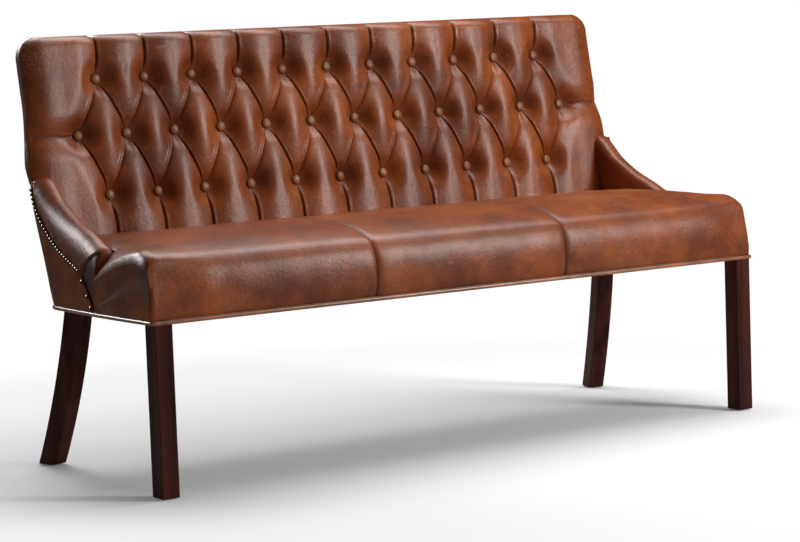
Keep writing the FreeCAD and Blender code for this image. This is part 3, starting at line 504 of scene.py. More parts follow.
def connect(nodes: Nodes, shader: bpy.types.Node, group: bpy.types.Node, depth: float, strength: float) -> None:
    """Feed a shader from a finish group, its height as bump."""
    nodes.tree.links.new(group.outputs["Color"], shader.inputs["Base Color"])
    nodes.tree.links.new(group.outputs["Roughness"], shader.inputs["Roughness"])
    bump = nodes.add("Bump", inputs={"Height": group.outputs["Height"], "Distance": depth, "Strength": strength})
    nodes.tree.links.new(bump.outputs[0], shader.inputs["Normal"])


@dataclass(frozen=True)
class Hide:
    """Aged pull-up leather."""

    name: str
    tan: Colour = (0.275, 0.066, 0.012)
    brown: Colour = (0.135, 0.029, 0.007)
    dark: Colour = (0.020, 0.005, 0.003)
    worn: Colour = (0.38, 0.17, 0.085)
    coat: float = 0.08
    coat_roughness: float = 0.25
    specular: float = 0.34
    grain_depth: float = 0.0009
    # Whether the hide takes painted crease shade from a share kept on its mesh.
    paints_crease_shade: bool = False

    def material(self) -> bpy.types.Material:
        """The leather's material."""
        nodes, shader, place = start_material(self.name)
        group = nodes.add("Group", node_tree=Group.HIDE.tree(), inputs={"Place": place})
        for socket, colour in (("Tan", self.tan), ("Brown", self.brown), ("Dark", self.dark), ("Worn", self.worn)):
            group.inputs[socket].default_value = (*colour, 1.0)
        # Painted shade in creases, pits and seams, read from a share kept on the mesh.
        if self.paints_crease_shade:
            crease_shade = nodes.add("Attribute", attribute_name="crease_shade")
            nodes.tree.links.new(crease_shade.outputs["Fac"], group.inputs["CreaseShade"])
        connect(nodes, shader, group, self.grain_depth, 0.35)
        shader.inputs["Coat Weight"].default_value = self.coat
        shader.inputs["Coat Roughness"].default_value = self.coat_roughness
        shader.inputs["Specular IOR Level"].default_value = self.specular
        return bpy.data.materials[self.name]


@dataclass(frozen=True)
class Wood:
    """Straight grained wood, lacquered or bare."""

    name: str
    light: Colour
    dark: Colour
    coat: float = 0.0
    specular: float = 0.18
    coat_roughness: float = 0.2
    grain_depth: float = 0.0004

    def material(self) -> bpy.types.Material:
        """The wood's material."""
        nodes, shader, place = start_material(self.name)
        group = nodes.add("Group", node_tree=Group.WOOD.tree(), inputs={"Place": place})
        group.inputs["Light"].default_value = (*self.light, 1.0)
        group.inputs["Dark"].default_value = (*self.dark, 1.0)
        connect(nodes, shader, group, self.grain_depth, 0.3)
        shader.inputs["Specular IOR Level"].default_value = self.specular
        shader.inputs["Coat Weight"].default_value = self.coat
        shader.inputs["Coat Roughness"].default_value = self.coat_roughness
        return bpy.data.materials[self.name]


@dataclass(frozen=True)
class Plain:
    """A finish of one colour, broken up by fine noise: metal, cloth, foam or plastic."""

    name: str
    colour: Colour
    roughness: float
    metallic: float = 0.0
    speckle: float = 400.0
    contrast: float = 0.25
    depth: float = 0.0004

    def material(self) -> bpy.types.Material:
        """The finish's material."""
        nodes, shader, place = start_material(self.name)
        speck = nodes.noise(place, self.speckle, 3, 0.6)
        darker = tuple(part * (1 - self.contrast) for part in self.colour)
        lighter = tuple(min(1.0, part * (1 + self.contrast)) for part in self.colour)
        colour = nodes.mix(nodes.window(speck, 0.3, 0.7), darker, lighter)
        nodes.tree.links.new(colour, shader.inputs["Base Color"])
        rough = nodes.window(speck, 0.3, 0.7, self.roughness * 0.85, self.roughness * 1.15)
        nodes.tree.links.new(rough, shader.inputs["Roughness"])
        bump = nodes.add("Bump", inputs={"Height": speck, "Distance": self.depth, "Strength": 0.4})
        nodes.tree.links.new(bump.outputs[0], shader.inputs["Normal"])
        shader.inputs["Metallic"].default_value = self.metallic
        return bpy.data.materials[self.name]


# Sub-assemblies


@dataclass
class BackLines:
    """Lines that the back shares with its neighbours."""

    top: float = 0.944
    lean: float = 0.1634
    plane_at_top: float = 0.28352
    rear_depth: float = 0.0345
    bend: float = 0.580
    rear_foot: float = 0.180
    base: float = 0.3595
    seam: float = 0.752
    corner: float = 0.085

    def plane(self, height: Points) -> Points:
        """Y of the plane that the buttons sit on."""
        return self.plane_at_top - (self.top - height) * self.lean

    def rear(self, height: Points) -> Points:
        """Y of the leather behind the bench."""
        leaned = self.plane(height) + self.rear_depth
        knee = self.plane(self.bend) + self.rear_depth
        foot = self.rear_foot + (knee - self.rear_foot) * (height - self.base) / (self.bend - self.base)
        return np.where(height >= self.bend, leaned, foot)

    def corner_drop(self, into: Points) -> Points:
        """How far the rounded rear corner has fallen away at a distance past its start."""
        return self.corner - np.sqrt(self.corner ** 2 - into ** 2)


@dataclass
class ButtonedBack:
    """Inside back: one hide drawn down by three rows of buttons, wrapped round the back's edges."""

    lines: BackLines
    pitch: float = 0.1222
    offset: float = 0.007
    row_length: int = 11
    rows: tuple[float, float, float] = (0.590, 0.724, 0.847)
    foot: float = 0.498
    side_foot: float = 0.628
    puff: float = 0.031
    pleat: float = 0.017
    shoulder: float = 0.055
    pit: float = 0.036
    ridge: float = 0.0022
    half: float = 0.790
    flare: float = 0.804
    flare_top: float = 0.800
    foot_tuck: float = 0.013
    foot_round: float = 0.045
    front_round: float = 0.028
    turn_share: float = 0.55
    front_reach: float = 0.054
    rear_round: float = 0.060
    flare_round: float = 0.113
    corner_round: float = 0.045
    top_round: float = 0.026
    lift: float = 0.002
    tuck: float = 0.018
    side_columns: int = 34
    columns_between: int = 18
    row_counts: tuple[int, int, int, int] = (32, 56, 30, 12)

    def row(self, index: int) -> list[float]:
        """X of each button in a row, counted from the lowest."""
        count = self.row_length + index % 2
        start = self.offset - (count - 1) / 2 * self.pitch
        return [start + place * self.pitch for place in range(count)]

    def buttons(self) -> list[tuple[float, float]]:
        """(x, z) of every button."""
        return [(x, z) for index, z in enumerate(self.rows) for x in self.row(index)]

    def pleats(self) -> list[tuple[float, float, float, float, float, float]]:
        """Ends of every pleat and how far it stands out at its start and its end.

        Returns:
            Start x, start z, end x, end z, start height, end height.
        """
        low, middle, high = self.rows
        half = self.pitch / 2
        outer, inner = self.row(2), self.row(1)
        made = [(x, middle, x + way * half, z, 0.0, 0.0) for x in inner for way in (-1, 1) for z in (low, high)
                if outer[0] - half / 2 < x + way * half < outer[-1] + half / 2]
        made += [(x, high, x, self.top_line, 0.0, self.pleat) for x in outer]
        made += [(x, low, x, self.foot - 0.03, 0.0, self.pleat) for x in outer]
        made += [(inner[0], middle, -self.half - 0.02, middle, 0.0, self.puff * 0.4),
                 (inner[-1], middle, self.half + 0.02, middle, 0.0, self.puff * 0.4)]
        return made

    @property
    def top_line(self) -> float:
        """Height at which the top's roll starts."""
        return self.lines.top - self.top_round

    def relief(self, x: Points, z: Points) -> tuple[Points, Points]:
        """How far the hide stands out of the button plane.

        Args:
            x: Places along the bench.
            z: Heights.

        Returns:
            Relief, and the share of painted crease shade in it.
        """
        rise = np.ones(len(x))
        floor_sum = np.zeros(len(x))
        weight_sum = np.full(len(x), 1e-9)
        ridges = np.zeros(len(x))
        # Painted shade: a dark line along each pleat's crease and a dark ring round each button's pit.
        crease_shade = np.zeros(len(x))
        for x0, z0, x1, z1, low, high in self.pleats():
            run = np.array([x1 - x0, z1 - z0])
            length = float(np.hypot(*run))
            share = np.clip(((x - x0) * run[0] + (z - z0) * run[1]) / length ** 2, 0, 1)
            away = np.hypot(x - x0 - share * run[0], z - z0 - share * run[1])
            into = np.clip(away / self.shoulder, 0, 1)
            rise *= (1 - (1 - into) ** 2) ** 0.62
            if high:
                height = low + (high - low) * np.clip(share * length / 0.06, 0, 1) ** 0.7
            else:
                height = self.pleat * np.sin(math.pi * np.clip(share, 0.001, 0.999)) ** 0.75
            weight = 1 / (away ** 2 + 1e-6)
            floor_sum += height * weight
            weight_sum += weight
            turned = run[1] < 0 or (run[1] == 0 and run[0] > 0)
            way = -run if turned else run
            from_top = share if run[1] < 0 else 1 - share
            side = ((x - x0) * way[1] - (z - z0) * way[0]) / length
            if high:
                ends = between(share * length, 0.012, 0.03)
                stands = self.ridge * (0.8 if run[1] else 1.5)
                ridges += stands * np.exp(-((side - 0.0046) / 0.0023) ** 2) * ends
                crease_shade = np.maximum(crease_shade, 0.95 * np.exp(-(away / 0.0014) ** 2) * ends)
            elif way[0] > 0:
                ends = between(from_top, 0.06, 0.14) * (1 - between(from_top, 0.4, 0.75))
                for place, share_of_ridge in ((-0.0036, 0.9), (-0.0092, 0.6)):
                    ridges += self.ridge * share_of_ridge * np.exp(-((side - place) / 0.0020) ** 2) * ends
                crease_shade = np.maximum(crease_shade, 0.35 * np.exp(-(away / 0.0012) ** 2) * between(from_top, 0.05, 0.3))
            else:
                ends = between(from_top, 0.03, 0.12) * (1 - between(from_top, 0.9, 1.0))
                ridges += self.ridge * 0.45 * np.exp(-((side - 0.0038) / 0.0018) ** 2) * ends
                crease_shade = np.maximum(crease_shade, 0.9 * np.exp(-(away / 0.0015) ** 2) * ends)
        floor = floor_sum / weight_sum
        near = np.ones(len(x))
        gather = np.zeros(len(x))
        for index, (button_x, button_z) in enumerate(self.buttons()):
            away = np.hypot(x - button_x, z - button_z)
            into = np.clip((away - 0.008) / self.pit, 0, 1)
            near *= 1 - (1 - into) ** 2
            close = away < 0.05
            angle = np.arctan2(z[close] - button_z, x[close] - button_x)
            rays = np.sin(7 * angle + index * 2.4) * 0.6 + np.sin(11 * angle + index * 1.3) * 0.4
            gather[close] += rays * 0.0007 * np.exp(-((away[close] - 0.017) / 0.009) ** 2)
            crease_shade = np.maximum(crease_shade, 0.55 * (1 - between(away, 0.009, 0.017)))
        relief = (floor + (self.puff - floor) * rise) * near
        return relief + ridges * near + gather, np.clip(crease_shade, 0, 1)

    def columns(self) -> Points:
        """X of the front's columns, set closer beside the pleats."""
        half = self.pitch / 2
        ends = self.row(1)
        count = 2 * self.row_length + 1
        marks = np.linspace(ends[0], ends[-1], count)
        eased = crowded(self.columns_between, 0.68)
        columns = [marks[index] + half * eased for index in range(count - 1)]
        edge = self.half - self.front_reach
        left = np.linspace(-edge, ends[0], 22, endpoint=False)
        right = np.linspace(ends[-1], edge, 23)
        return np.concatenate([left, *columns, right])

    def row_heights(self, x: Points) -> Points:
        """Heights of the rows at each front column, so that pleats lie along rows.

        Args:
            x: Columns.

        Returns:
            One line of heights for each column, from the foot to the roll.
        """
        low, middle, high = self.rows
        inner = self.row(1)
        half = self.pitch / 2
        phase = np.abs(((x - inner[0]) / self.pitch + 0.5) % 1 - 0.5) * 2
        beyond = np.maximum(inner[0] - x, x - inner[-1])
        phase = np.where(beyond > 0, np.clip(beyond / half, 0, 1) * 0.7, phase)
        lower = middle + (low - middle) * phase
        upper = middle + (high - middle) * phase
        counts = self.row_counts
        parts = []
        for start, end, count in ((np.full(len(x), self.foot), lower, counts[0]), (lower, upper, counts[1]),
                                  (upper, np.full(len(x), self.top_line), counts[2])):
            parts.append(start[:, None] + (end - start)[:, None] * crowded(count, 0.7)[None])
        parts.append(np.full((len(x), 1), self.top_line))
        return np.hstack(parts)

    def half_width(self, z: Points) -> Points:
        """Half width of the back, flared to the arms."""
        share = between(z, self.side_foot, self.flare_top)
        return self.flare + (self.half - self.flare) * share

    def side_point(self, share: Points, z: Points) -> tuple[Points, Points, Points, Points]:
        """Plan of the back's right edge, from the front face to the seam behind.

        Args:
            share: Share of the way round, from 0 to 1.
            z: Heights.

        Returns:
            x, y and the outward direction's x and y.
        """
        drawn_in = 1 - between(z, self.side_foot - 0.02, self.side_foot + self.foot_round)
        half = self.half_width(z) - self.foot_tuck * drawn_in * between(share, 0.3, 0.75)
        tight, reach = self.front_round, self.front_reach
        wide = self.rear_round + (self.flare_round - self.rear_round) * (1 - between(z, self.side_foot, self.flare_top))
        turn_y = self.lines.plane(z) - self.puff - self.lift + tight
        deep = self.lines.plane(z) + self.lines.rear_depth - turn_y
        end_angle = np.arccos(np.clip((self.lines.seam - half + wide) / wide, -1, 1))
        before = np.clip(share / self.turn_share, 0, 1)
        after = np.clip((share - self.turn_share) / (1 - self.turn_share), 0, 1)
        front_angle = math.pi / 2 * (1 - before)
        rear_angle = end_angle * after
        on_front = share <= self.turn_share
        x = np.where(on_front, half - reach + reach * np.cos(front_angle), half - wide + wide * np.cos(rear_angle))
        y = np.where(on_front, turn_y - tight * np.sin(front_angle), turn_y + deep * np.sin(rear_angle))
        angle = np.where(on_front, -np.arctan2(np.sin(front_angle) / tight, np.cos(front_angle) / reach),
                         np.arctan2(np.sin(rear_angle) / deep, np.cos(rear_angle) / wide))
        return x, y, np.cos(angle), np.sin(angle)

    def build(self, material: bpy.types.Material) -> bpy.types.Object:
        """Make the buttoned hide.

        Args:
            material: Its leather.

        Returns:
            The finished piece.
        """
        front = self.columns()
        heights = self.row_heights(front)
        sides, roll = self.side_columns, self.row_counts[3]
        columns = len(front) + 2 * sides
        rows = heights.shape[1] + roll
        piece = add_grid("inside_back_hide", columns - 1, rows - 1)
        side_share = np.linspace(0, 1, sides + 1)[1:]

        def place(points: Points) -> Points:
            """Put the piece's points in place."""
            column = np.rint(points[:, 0] * (columns - 1)).astype(int)
            row = np.rint(points[:, 1] * (rows - 1)).astype(int)
            on_left = column < sides
            is_side = on_left | (column >= sides + len(front))
            front_index = np.clip(column - sides, 0, len(front) - 1)
            step = np.where(on_left, sides - 1 - column, column - sides - len(front))
            share = np.where(is_side, side_share[np.clip(step, 0, sides - 1)], 0.0)
            way = np.where(front_index < len(front) / 2, -1.0, 1.0)
            row_z = heights[front_index, np.clip(row, 0, heights.shape[1] - 1)]
            side_x, side_y, normal_x, normal_y = self.side_point(share, row_z)
            x = np.where(is_side, way * side_x, front[front_index])
            relief, crease_shade = self.relief(x, row_z)
            fade = np.where(is_side, 1 - between(share, 0.3, 0.7), 1.0)
            nearing = between(np.abs(x), self.half - 1.8 * self.front_reach, self.half - self.front_reach)
            y = np.where(is_side, side_y, self.lines.plane(row_z) - self.puff - self.lift * nearing)
            normal_x = np.where(is_side, way * normal_x, 0.0)
            normal_y = np.where(is_side, normal_y, -1.0)
            tucked = self.tuck * between(self.side_foot - row_z, 0.0, 0.016) * between(share, 0.08, 0.16)
            sunk = (self.puff - relief) * fade + tucked
            x = x - normal_x * sunk
            y = y - normal_y * sunk
            turn = np.clip((row - heights.shape[1] + 1) / roll, 0, 1) * math.pi / 2
            toward = np.where(is_side, 0.35 + 0.65 * between(share, 0.0, 0.3), 0.35 * nearing)
            rim = self.top_round + (self.corner_round - self.top_round) * toward
            reached = np.clip((side_x - self.half + self.front_reach) / self.front_reach, 0, 1)
            x -= np.where(is_side, way * reached * self.corner_round, 0.0) * (1 - np.cos(turn))
            y -= np.minimum(normal_y, 0.12) * self.top_round * (1 - np.cos(turn))
            below = between(row_z, self.lines.top - 4 * rim, self.top_line)
            pull = np.max([np.exp(-((x - button) / 0.007) ** 2) for button in self.row(2)], axis=0)
            z = row_z - (rim - self.top_round) * below + (rim - 0.0035 * pull) * np.sin(turn)
            return np.column_stack([x, y, z, crease_shade * fade])

        shape(piece, place)
        close_behind(piece, self.over_the_top, self.behind)
        face_outwards(piece)
        smooth_shade(piece)
        fit(piece, "leather", material, "inside_back_cover", "back_foam", "back_side_band_left",
            "back_side_band_right", "back_side_pad_left", "back_side_pad_right")
        return piece

    def over_the_top(self, border: Points) -> Points:
        """Next loop: flat over the top to the rear leather, a little inward elsewhere."""
        moved = border.copy()
        on_top = border[:, 2] > self.lines.top - 0.004
        moved[:, 1] = np.where(on_top, np.maximum(border[:, 1], self.lines.rear(border[:, 2]) - 0.001), border[:, 1])
        moved[:, 0] = np.where(on_top, border[:, 0], border[:, 0] * 0.997)
        return moved

    def behind(self, border: Points) -> Points:
        """Last loop: inside the pad, flat on the plane of the buttons."""
        moved = border.copy()
        moved[:, 0] = border[:, 0] * 0.9
        moved[:, 2] = self.foot + 0.01 + (border[:, 2] - self.foot) * 0.92
        moved[:, 1] = self.lines.plane(moved[:, 2]) + 0.004
        return moved


@dataclass
class Buttons:
    """Covered buttons of the back."""

    back: ButtonedBack
    radius: float = 0.0112
    height: float = 0.0062
    lift: float = 0.0012

    def build(self, material: bpy.types.Material) -> bpy.types.Object:
        """Make one button and copy it to every place."""
        deselect()
        bpy.ops.mesh.primitive_uv_sphere_add(segments=28, ring_count=14, radius=1)
        button = named("button")

        def place(points: Points) -> Points:
            """Put the piece's points in place."""
            up = points[:, 2]
            wide = np.sqrt(np.clip(1 - np.abs(up) ** 2.4, 0, 1))
            flat = np.hypot(points[:, 0], points[:, 1]) + 1e-9
            angle = np.arctan2(points[:, 1], points[:, 0])
            pucker = 1 + 0.012 * np.sin(9 * angle) * (up < 0.2)
            ring = self.radius * wide * pucker / flat
            height = np.where(up > 0, up * self.height * 0.72, up * self.height * 0.28)
            return np.column_stack([points[:, 0] * ring, points[:, 1] * ring,
                                    height + self.lift + self.height * 0.28])

        shape(button, place)
        lean = math.atan(self.back.lines.lean)
        spots = [Vector((x, float(self.back.lines.plane(z)), z)) for x, z in self.back.buttons()]
        made = join(copies(button, spots, (math.pi / 2 - lean, 0, 0)), "back_button_caps")
        smooth_shade(made)
        fit(made, "button_leather", material, "back_buttons")
        return made


@dataclass
class SeatForm:
    """Outer form of the seat: a crowned pad with a full front edge."""

    half: float = 0.808
    foot: float = 0.3696
    front: tuple[tuple[float, float], ...] = (
        (-0.311, 0.3696), (-0.318, 0.394), (-0.3185, 0.425), (-0.314, 0.455), (-0.304, 0.478), (-0.288, 0.4955),
        (-0.257, 0.508))
    end_front: tuple[tuple[float, float], ...] = (
        (-0.311, 0.3696), (-0.3118, 0.394), (-0.3085, 0.425), (-0.3025, 0.452), (-0.2985, 0.474), (-0.292, 0.4925),
        (-0.276, 0.5035), (-0.250, 0.511))
    top: tuple[tuple[float, float], ...] = (
        (-0.224, 0.516), (-0.175, 0.5225), (-0.119, 0.526), (-0.066, 0.5265), (-0.009, 0.523), (0.090, 0.516),
        (0.182, 0.507))
    seams: tuple[float, float] = (-0.255, 0.255)
    corner: float = 0.005
    face_share: float = 0.185
    notch: float = -0.0725
    notch_half: float = 0.7513
    edge_round: float = 0.030
    edge_fall: float = 0.026
    rear_edge: tuple[tuple[float, float], ...] = (
        (0.0, 0.092), (0.0009, 0.088), (0.0144, 0.070), (0.0258, 0.0595), (0.0394, 0.0445), (0.056, 0.0315),
        (0.080, 0.0155), (0.110, 0.006), (0.160, 0.0))

    def line(self, share: Points, end: Points) -> tuple[Points, Points]:
        """Profile in y and z at shares of its length.

        Args:
            share: Shares of the profile's length, from the foot of the front.
            end: Share of the seat's end form in it.

        Returns:
            y and z.
        """
        middle_y, middle_z = along(curve_through([*self.front, *self.top]), share)
        end_y, end_z = along(curve_through([*self.end_front, *self.top]), share)
        return middle_y + (end_y - middle_y) * end, middle_z + (end_z - middle_z) * end

    def edge_drop(self, x: Points, y: Points) -> Points:
        """How far the top falls at its rounded side edge.

        Args:
            x: Places along the bench.
            y: Places across it.

        Returns:
            Falls.
        """
        toward = np.clip((y + 0.255) / 0.184, 0, 1)
        into = np.clip((np.abs(x) - self.half + self.edge_round) / self.edge_round, 0, 1)
        crisp = self.edge_fall * (1 - np.sqrt(np.clip(1 - into ** 2, 0, 1)))
        offsets, drops = zip(*self.rear_edge)
        soft = np.interp(self.half - np.abs(x), offsets, drops)
        soft = soft * (1 - 0.6 * between(y, self.notch, self.notch + 0.10))
        return crisp + (soft - crisp) * toward ** 1.15

    def behind_front(self, y: Points, z: Points) -> Points:
        """Depth behind the front face at the seat's ends."""
        front = np.array(self.end_front[:6])
        return y - np.interp(z, front[:, 1], front[:, 0])


@dataclass
class SeatPanel:
    """One of the seat's leather panels, between a side and a seam or between both seams."""

    name: str
    node: str
    left: float
    right: float
    form: SeatForm
    cuts: int = 84

    def build(self, material: bpy.types.Material, *more_nodes: str) -> bpy.types.Object:
        """Make the panel.

        Args:
            material: Its leather.
            more_nodes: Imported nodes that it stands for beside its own.

        Returns:
            The finished piece.
        """
        form = self.form
        piece = add_block(self.name, self.cuts)
        split = form.face_share
        levels = split + (1 - split) * np.linspace(0, 1, self.cuts + 2)
        spread_y, _ = form.line(levels, np.zeros(len(levels)))
        behind = int(np.searchsorted(spread_y, form.notch))
        step = np.interp(form.notch, spread_y, levels)
        levels[behind - 1:behind + 1] = step, step + 0.0007

        def place(points: Points) -> Points:
            """Put the piece's points in place."""
            a, b, c = points.T
            row = np.rint((b + 1) / 2 * (self.cuts + 1)).astype(int)
            half_here = np.where(row < behind, form.half, form.notch_half)
            x = np.clip(self.left + (self.right - self.left) * (a + 1) / 2, -half_here, half_here)
            end = between(np.abs(x), 0.66, 0.80)
            top_y, top_z = form.line(levels[row], end)
            face_y, face_z = form.line(split * (c + 1) / 2, end)
            split_y, split_z = form.line(np.full(len(x), split), end)
            on_face = b <= -FACE_AT
            on_top = c >= FACE_AT
            near = 1 - np.clip((top_y - split_y) / 0.1, 0, 1)
            y = np.where(on_top, top_y, top_y + (face_y - split_y) * near)
            z = np.where(on_top, top_z, form.foot + (top_z - form.foot) * (c + 1) / 2)
            y = np.where(on_face, face_y, y)
            z = np.where(on_face, face_z, z)
            height = (z - form.foot) / (split_z - form.foot)
            z = z - form.edge_drop(x, y) * np.clip((z - form.foot) / 0.1, 0, 1) ** 1.2
            reach = np.clip((np.abs(x) - form.half + form.corner) / form.corner, 0, 1)
            back_in = form.corner * (1 - np.sqrt(np.clip(1 - reach ** 2, 0, 1)))
            y = y + back_in * between(-y, 0.24, 0.30)
            for seam in form.seams:
                away = np.abs(x - seam)
                dip = 0.0030 * np.exp(-(away / 0.005) ** 2) + 0.0016 * np.exp(-(away / 0.022) ** 2)
                facing = between(-y, 0.285, 0.305)
                z = z - dip * (1 - facing) * (z > form.foot + 0.05)
                y = y + dip * facing
            swell = ripple(np.column_stack([x, y, z]), 0.22, LEATHER_SEED) * 0.0011
            z = z + swell * (z > form.foot + 0.03)
            facing = between(-y, 0.285, 0.305)
            pulls = ripple(np.column_stack([x, z * 0.25]), 0.05, LEATHER_SEED + 1) * 0.0009
            y = y - pulls * facing * np.clip(1.2 - height, 0, 1)
            side = np.abs(x) >= form.half - 1e-4
            bulge = 0.004 * np.sin(math.pi * np.clip(height, 0, 1)) * np.sin(
                math.pi * np.clip((y + 0.311) / 0.25, 0, 1))
            inset = form.behind_front(y, z)
            wide = 0.010 + 0.032 * between(z, 0.370, 0.460)
            hollow = 0.0042 * np.exp(-np.clip(inset / wide, 0, 9) ** 1.5) * between(z, 0.375, 0.440) * (
                1 - between(z, 0.462, 0.478)) * between(inset, 0.002, 0.006)
            creases = ripple(np.column_stack([y, z * 0.12]), 0.03, LEATHER_SEED + 2) * 0.0009
            x = x + np.sign(x) * side * (bulge - hollow + creases * np.clip(height, 0, 1))
            return np.column_stack([x, y, z])

        shape(piece, place)
        face_outwards(piece)
        # Painted shade beside the seams and in the front corner's pocket.
        mark_crease_shade(piece, self.crease_shade_at(points_of(piece)))
        smooth_shade(piece, 60)
        fit(piece, "leather", material, self.node, *more_nodes)
        return piece

    def crease_shade_at(self, points: Points) -> Points:
        """Share of painted shade at each point: in the groove beside the seams and in the corner's pleat."""
        x, y, z = points.T
        crease_shade = np.zeros(len(points))
        for seam in self.form.seams:
            crease_shade = np.maximum(crease_shade, 0.75 * np.exp(-((x - seam) / 0.0022) ** 2))
        side = np.abs(x) > self.form.half - 0.011
        inset = self.form.behind_front(y, z)
        wide = 0.008 + 0.030 * between(z, 0.370, 0.460)
        corner = np.exp(-np.clip(inset / wide, 0, 9) ** 2) * between(z, 0.372, 0.420) * (
            1 - between(z, 0.470, 0.484)) * between(inset, 0.003, 0.007)
        return np.clip(np.maximum(crease_shade, 0.85 * corner * side), 0, 1)


@dataclass
class ArmForm:
    """Lines of the arm and of its nailed seam."""

    lines: BackLines
    outer: float = 0.808
    thickness: float = 0.056
    front: float = -0.071
    rear: float = 0.201
    foot: float = 0.3696
    crest: tuple[tuple[float, float], ...] = (
        (-0.071, 0.4985), (-0.063, 0.5035), (-0.006, 0.529), (0.062, 0.555), (0.130, 0.591), (0.177, 0.629),
        (0.201, 0.6405), (0.240, 0.642))
    nails: tuple[tuple[float, float], ...] = (
        (-0.011, 0.453), (0.002, 0.459), (0.029, 0.470), (0.060, 0.484), (0.091, 0.500), (0.118, 0.518),
        (0.148, 0.543), (0.171, 0.568), (0.189, 0.593), (0.201, 0.621))
    seam_foot: tuple[float, float] = (-0.066, 0.367)
    pitch: float = 0.0104
    lone_shares: tuple[float, float, float] = (0.76, 0.40, 0.13)
    nail_drop: float = 0.0033
    rear_top: float = 0.6345
    roll_set: float = 0.019
    inner_roll: float = 0.032
    front_round: float = 0.014
    tuck: float = 0.0045
    behind_gap: float = 0.062
    nail_lift: float = 0.0022

    def crest_height(self, y: Points) -> Points:
        """Height of the arm's top."""
        line = curve_through(list(self.crest))
        return np.interp(y, line[:, 0], line[:, 1])

    def seam_depth(self, height: Points) -> Points:
        """Y of the front seam at a height."""
        return np.interp(height, [self.seam_foot[1], self.nails[0][1]], [self.seam_foot[0], self.nails[0][0]])

    def nail_height(self, y: Points) -> Points:
        """Height of the nail row, and of the seam in front of it."""
        line = curve_through([*self.nails])
        row = np.interp(y, line[:, 0], line[:, 1])
        share = (y - self.seam_foot[0]) / (self.nails[0][0] - self.seam_foot[0])
        seam = self.seam_foot[1] + (self.nails[0][1] - self.seam_foot[1]) * share
        return np.where(y < self.nails[0][0], seam, row)


